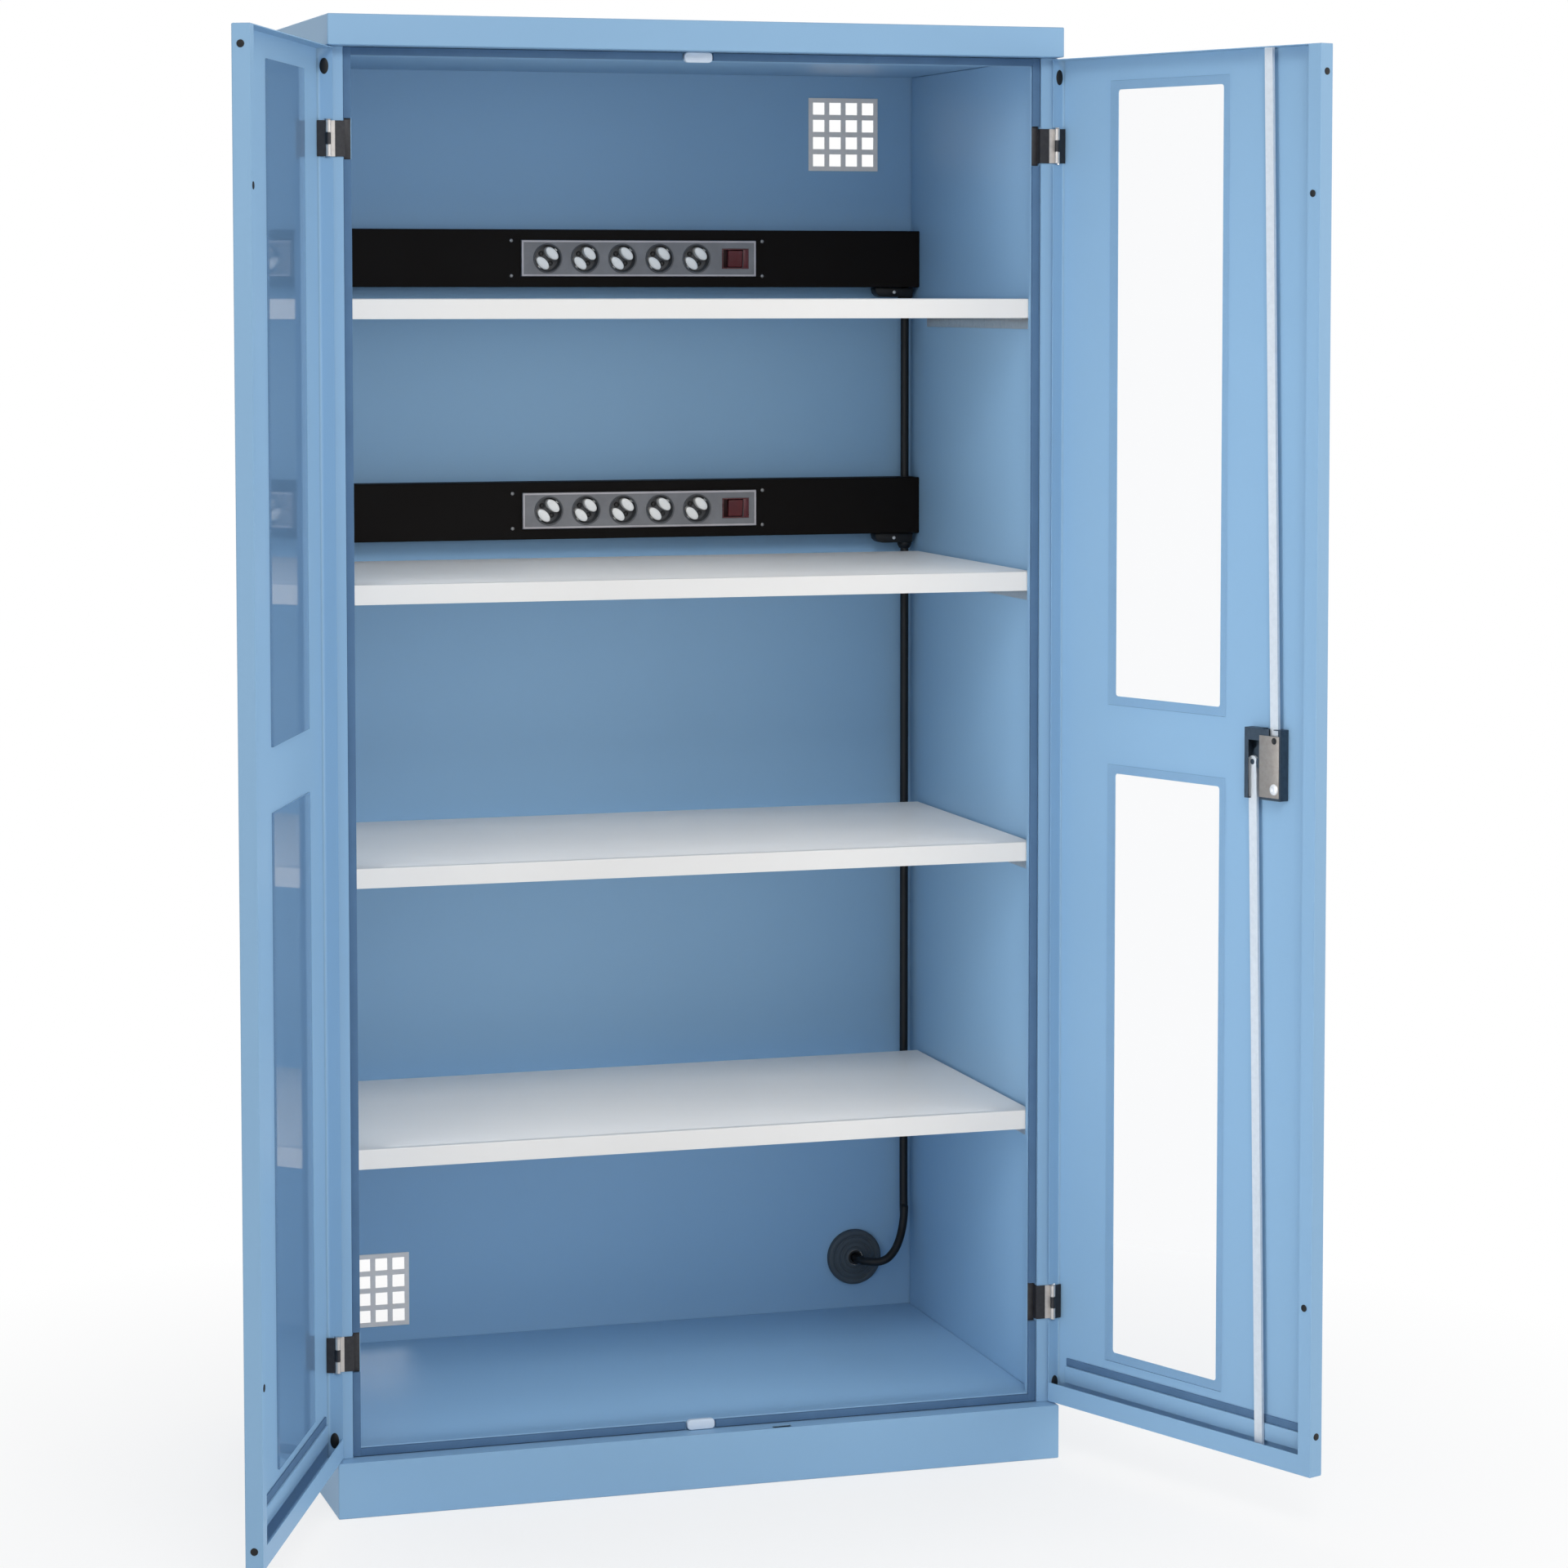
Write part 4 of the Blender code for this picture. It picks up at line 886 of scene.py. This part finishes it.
# lock case in the right door, as seen from inside: a dark shell whose front sheet has two openings, a pale
# plate, a black dish that paints the shade of a hole, and a screw whose near-white head paints its highlight
lock = {
    "columns": (0.3620, 0.3690, 0.3895, 0.4055, 0.4222, 0.4264),
    "rows": (0.9430, 1.0190, 1.0268, 1.0350),
    "openCells": ((1, 0), (3, 2)),
    "cellWithin": 0.001,
    "skin": -0.0152,
    "face": 0.0002,
    "sheet": 0.0012,
    "ease": 0.0003,
    "wallGaps": {"low": (0.3690, 0.3920), "high": (0.3900, 0.4130)},
    "backThick": 0.0004,
    "backEase": 0.0001,
    "plate": ((0.3898, 0.9465), (0.4252, 1.0264)),
    "plateProud": 0.0012,
    "plateEase": 0.0004,
    "hole": (0.4168, 1.0206),
    "holeLine": ((0.0044, 0.0002), (0.0043, -0.0004), (0.0038, -0.0006), (0.0031, -0.0003), (0.0, -0.0002)),
    "holeSteps": 24,
    "screw": (0.4172, 0.9578),
    "screwLine": ((0.0072, 0.0002), (0.0072, -0.0006), (0.0066, -0.0015), (0.0050, -0.0022),
                  (0.0028, -0.0025), (0.0024, -0.0016), (0.0, -0.0016)),
    "screwSteps": 28,
    "hubFrom": -0.002,
    "hubEnd": -0.0013,
}


def makeLock():
    space = doorSpace(1)
    columns, rows, sheet, skin = lock["columns"], lock["rows"], lock["sheet"], lock["skin"]
    near, far, low, high = columns[0], columns[-1], rows[0], rows[-1]
    inner = lock["face"] - sheet
    shell = bmesh.new()
    bmesh.ops.create_grid(shell, x_segments=len(columns) - 1, y_segments=len(rows) - 1, size=0.5)
    for vert in shell.verts:
        column = round((vert.co.x + 0.5) * (len(columns) - 1))
        row = round((vert.co.y + 0.5) * (len(rows) - 1))
        vert.co = (-columns[column], inner, rows[row])
    openFaces = []
    for column, row in lock["openCells"]:
        middle = Vector((-sum(columns[column:column + 2]) / 2, inner, sum(rows[row:row + 2]) / 2))
        openFaces += [face for face in shell.faces
                      if (face.calc_center_median() - middle).length < lock["cellWithin"]]
    bmesh.ops.delete(shell, geom=openFaces, context="FACES")
    raiseFaces(shell, shell.faces[:], (0, sheet, 0))
    bmesh.ops.transform(shell, matrix=space, verts=shell.verts)
    roundEdges(shell, cornerEdges(shell), lock["ease"], segments=1)
    for left, right in ((near, near + sheet), (far - sheet, far)):
        block(shell, (-right, skin, low), (-left, inner, high), lock["ease"], space)
    for end, base in (("low", low), ("high", high - sheet)):
        start, stop = lock["wallGaps"][end]
        for left, right in ((near + sheet, start), (stop, far - sheet)):
            block(shell, (-right, skin, base), (-left, inner, base + sheet), lock["ease"], space)
    back = skin + lock["backThick"]
    block(shell, (-far + sheet, skin, low + sheet), (-near - sheet, back, high - sheet), lock["backEase"],
          space)
    addPiece(shell, "lockShell", "right_door_body", [stuffs["lockShell"]], ("lock_case",))
    plate = bmesh.new()
    surface = lock["face"] + lock["plateProud"]
    (left, bottom), (right, top) = lock["plate"]
    block(plate, (-right, lock["face"], bottom), (-left, surface, top), lock["plateEase"], space)
    addPiece(plate, "lockPlate", "right_door_body", [stuffs["lockPlate"]])
    outward = space.to_3x3() @ Vector((0, -1, 0))
    hole, screw = bmesh.new(), bmesh.new()
    # the hole is a black dish on the plate: painted shade
    seat = space @ Vector((-lock["hole"][0], surface, lock["hole"][1]))
    turned(hole, lock["holeLine"], seat, outward, lock["holeSteps"])
    addPiece(hole, "lockPlateHole", "right_door_body", [looks["black_plastic"]])
    # the screw's near-white head is a painted highlight
    seat = space @ Vector((-lock["screw"][0], surface, lock["screw"][1]))
    turned(screw, lock["screwLine"], seat, outward, lock["screwSteps"])
    addPiece(screw, "lockPlateScrew", "right_door_body", [stuffs["brightNickel"]])


# hinges: the knuckle between the leaves is bright, while each door leaf and the inner part of each frame leaf
# are painted near-black as the shade of the slots they sit in; a dark plate behind each frame leaf paints the
# shade of the slot in the rebate
hinge = {
    "darkInside": 0.4870,
    "cutWithin": 0.000001,
    "heights": (0.213, 1.792),
    "backing": (0.4650, 0.4738),
    "backingRise": 0.0262,
    "backingThick": 0.0010,
}


def paintLeafShade(node, piece):
    mesh = piece.data
    mesh.materials.clear()
    mesh.materials.append(stuffs["knuckle"])
    mesh.materials.append(stuffs["darkLeaf"])
    bm = bmesh.new()
    bm.from_mesh(mesh)
    for side in (-1, 1):
        bmesh.ops.bisect_plane(bm, geom=bm.verts[:] + bm.edges[:] + bm.faces[:], dist=hinge["cutWithin"],
                               plane_co=(side * hinge["darkInside"], 0, 0), plane_no=(side, 0, 0))
    for face in bm.faces:
        # inside the line, and all over a door leaf, the leaf takes the painted slot shade
        inside = abs(face.calc_center_median().x) < hinge["darkInside"]
        face.material_index = int(inside or "door_leaf" in node)
    bm.to_mesh(mesh)
    bm.free()


def makeSlotShades():
    # dark plates behind the frame leaves that paint the shade of the slots in the rebate
    bm = bmesh.new()
    near, far = hinge["backing"]
    for middle in hinge["heights"]:
        for left, right in ((-far, -near), (near, far)):
            block(bm, (left, seal["rebate"] - hinge["backingThick"], middle - hinge["backingRise"]),
                  (right, seal["rebate"], middle + hinge["backingRise"]), seal["ease"])
    addPiece(bm, "hingeBackings", "cabinet", [stuffs["darkLeaf"]])


# copies with a finish of their own, and nodes whose pieces are made afresh
ownFinish = {
    "upper_rod": "rod",
    "lower_rod": "rod",
    "rod_cam": "lockShell",
}
rebuilt = ("upper_cable_gland", "lower_cable_gland", "link_cable", "supply_cable", "cable_grommet",
           "upper_door_catch", "lower_door_catch", "lock_case")
for node in sorted(nodes):
    if node in rebuilt:
        continue
    piece = softCopy(node, *softeningFor(node))
    if node in ownFinish:
        piece.data.materials[0] = stuffs[ownFinish[node]]
    if "hinge" in node:
        paintLeafShade(node, piece)
print("sheet metal dressed")

for level in ("upper", "lower"):
    dressStrip(level)
    makeGland(level)
    makeCatch(level)
start, reach = cables["bendStart"], cables["bendReach"]
bend = [(start[0] + across * reach[0], start[1] - out * reach[1], start[2] + up * reach[2])
        for across, out, up in cables["bend"]]
makeCable("linkCable", cables["link"], "link_cable")
makeCable("supplyCable", cables["drop"] + bend + cables["entry"], "supply_cable")
makeGrommet()
print("electrics dressed")
makeShadeSeal()
makeSlotShades()
makeLock()
for side in (-1, 1):
    makeDoorTrim(side)
print("doors dressed")


# floor and backdrop: the floor glows white where it is seen, less so near the cabinet and not under it, and
# the room is white to the eye but tinted and weaker as light
stage = {
    "floorHalf": 30.0,
    "floorDrop": 0.0005,
    "floorColour": (0.90, 0.905, 0.91),
    "floorRoughness": 0.9,
    "floorSpecular": 0.1,
    "speckScale": 40.0,
    "speckShade": 0.985,
    "clearFrom": 0.35,
    "clearTo": 1.6,
    "nearClear": 0.70,
    "footAcross": 0.49,
    "footMiddle": 0.275,
    "footAlong": 0.28,
    "roomColour": (0.97, 0.985, 1.0),
    "roomLevel": 0.49,
}


def seenRays(tree):
    # 1 for what the camera sees, straight or by way of glass or a glossy face
    rays = tree.nodes.new("ShaderNodeLightPath")
    seen = mathNode(tree, "MAXIMUM", rays.outputs["Is Camera Ray"], rays.outputs["Is Glossy Ray"])
    return mathNode(tree, "MAXIMUM", seen, rays.outputs["Is Transmission Ray"])


def mixShaders(tree, factor, first, second):
    mix = tree.nodes.new("ShaderNodeMixShader")
    for index, value in enumerate((factor, first, second)):
        tree.links.new(value, mix.inputs[index])
    return mix.outputs["Shader"]


def buildFloor():
    bm = bmesh.new()
    bmesh.ops.create_grid(bm, x_segments=1, y_segments=1, size=stage["floorHalf"])
    mesh = bpy.data.meshes.new("floor")
    bm.to_mesh(mesh)
    bm.free()
    floor = bpy.data.objects.new("floor", mesh)
    floor.location = (0, 0, -stage["floorDrop"])
    bpy.context.scene.collection.objects.link(floor)
    material = bpy.data.materials.new("paleFloor")
    material.use_nodes = True
    tree = material.node_tree
    shader = tree.nodes["Principled BSDF"]
    shader.inputs["Roughness"].default_value = stage["floorRoughness"]
    shader.inputs["Specular IOR Level"].default_value = stage["floorSpecular"]
    place = tree.nodes.new("ShaderNodeTexCoord").outputs["Object"]
    speck = noise(tree, place, stage["speckScale"], detail=4.0, roughness=0.6)
    shaded = tuple(value * stage["speckShade"] for value in stage["floorColour"])
    tree.links.new(blendColour(tree, speck, shaded, stage["floorColour"]), shader.inputs["Base Color"])
    glow = tree.nodes.new("ShaderNodeEmission")
    glow.inputs["Strength"].default_value = 1.0
    reach = tree.nodes.new("ShaderNodeVectorMath")
    reach.operation = "LENGTH"
    tree.links.new(place, reach.inputs[0])
    fade = spread(tree, reach.outputs["Value"], stage["clearFrom"], stage["clearTo"], stage["nearClear"])
    apart = tree.nodes.new("ShaderNodeSeparateXYZ")
    tree.links.new(place, apart.inputs[0])
    across = mathNode(tree, "ABSOLUTE", apart.outputs["X"])
    along = mathNode(tree, "ABSOLUTE", mathNode(tree, "SUBTRACT", apart.outputs["Y"], stage["footMiddle"]))
    beside = mathNode(tree, "MAXIMUM", mathNode(tree, "GREATER_THAN", across, stage["footAcross"]),
                      mathNode(tree, "GREATER_THAN", along, stage["footAlong"]))
    fade = mathNode(tree, "MULTIPLY", fade, beside)
    shown = mathNode(tree, "MULTIPLY", fade, seenRays(tree))
    mixed = mixShaders(tree, shown, shader.outputs["BSDF"], glow.outputs["Emission"])
    tree.links.new(mixed, tree.nodes["Material Output"].inputs["Surface"])
    mesh.materials.append(material)


def buildWorld():
    world = bpy.data.worlds.new("studio")
    bpy.context.scene.world = world
    world.use_nodes = True
    tree = world.node_tree
    room = tree.nodes["Background"]
    white = tree.nodes.new("ShaderNodeBackground")
    for backdrop, colour, level in ((room, stage["roomColour"], stage["roomLevel"]), (white, (1, 1, 1), 1.0)):
        feed(tree, backdrop.inputs["Color"], colour)
        feed(tree, backdrop.inputs["Strength"], level)
    mixed = mixShaders(tree, seenRays(tree), room.outputs["Background"], white.outputs["Background"])
    tree.links.new(mixed, tree.nodes["World Output"].inputs["Surface"])


# area lamps: where each stands and looks, its two sides in metres, its power in watts and, where it is
# narrowed, its beam in degrees
lamps = {
    "keyLamp": {"place": (3.9, -4.8, 1.8), "target": (0, 0, 1.0), "size": (1.6, 1.6), "power": 41},
    "highLamp": {"place": (-0.6, -4.2, 4.0), "target": (0, 0.2, 1.0), "size": (1.6, 1.6), "power": 75},
    "leftLamp": {"place": (-4.9, -1.9, 1.4), "target": (0.5, -0.2, 1.0), "size": (2.0, 2.0), "power": 19},
    "rightLamp": {"place": (4.9, -1.9, 1.4), "target": (-0.5, -0.2, 1.0), "size": (2.0, 2.0), "power": 32},
    "insideLamp": {"place": (0, 0.035, 1.0), "target": (0, 1.0, 1.0), "size": (0.85, 1.75), "power": 2.65},
    "rightDoorLamp": {"place": (-0.55, -0.72, 1.0), "target": (0.60, -0.25, 1.0), "size": (0.5, 1.9),
                      "power": 1.7, "beam": 55},
    "leftDoorLamp": {"place": (0.55, -0.72, 1.0), "target": (-0.60, -0.25, 1.0), "size": (0.5, 1.9),
                     "power": 0.75, "beam": 55},
    "backLamp": {"place": (0.5, 5.0, 3.0), "target": (0, 0.3, 1.0), "size": (2.4, 2.4), "power": 58},
}


def addLamp(name, place, target, size, power, beam=180):
    lamp = bpy.data.lights.new(name, "AREA")
    lamp.shape = "RECTANGLE"
    lamp.size, lamp.size_y = size
    lamp.energy = power
    lamp.spread = math.radians(beam)
    rig = bpy.data.objects.new(name, lamp)
    rig.location = place
    rig.rotation_euler = (Vector(target) - Vector(place)).to_track_quat("-Z", "Y").to_euler()
    rig.visible_camera = False
    bpy.context.scene.collection.objects.link(rig)


buildFloor()
buildWorld()
for name, settings in lamps.items():
    addLamp(name, **settings)
bpy.context.scene.view_settings.view_transform = "Standard"
print("studio set")
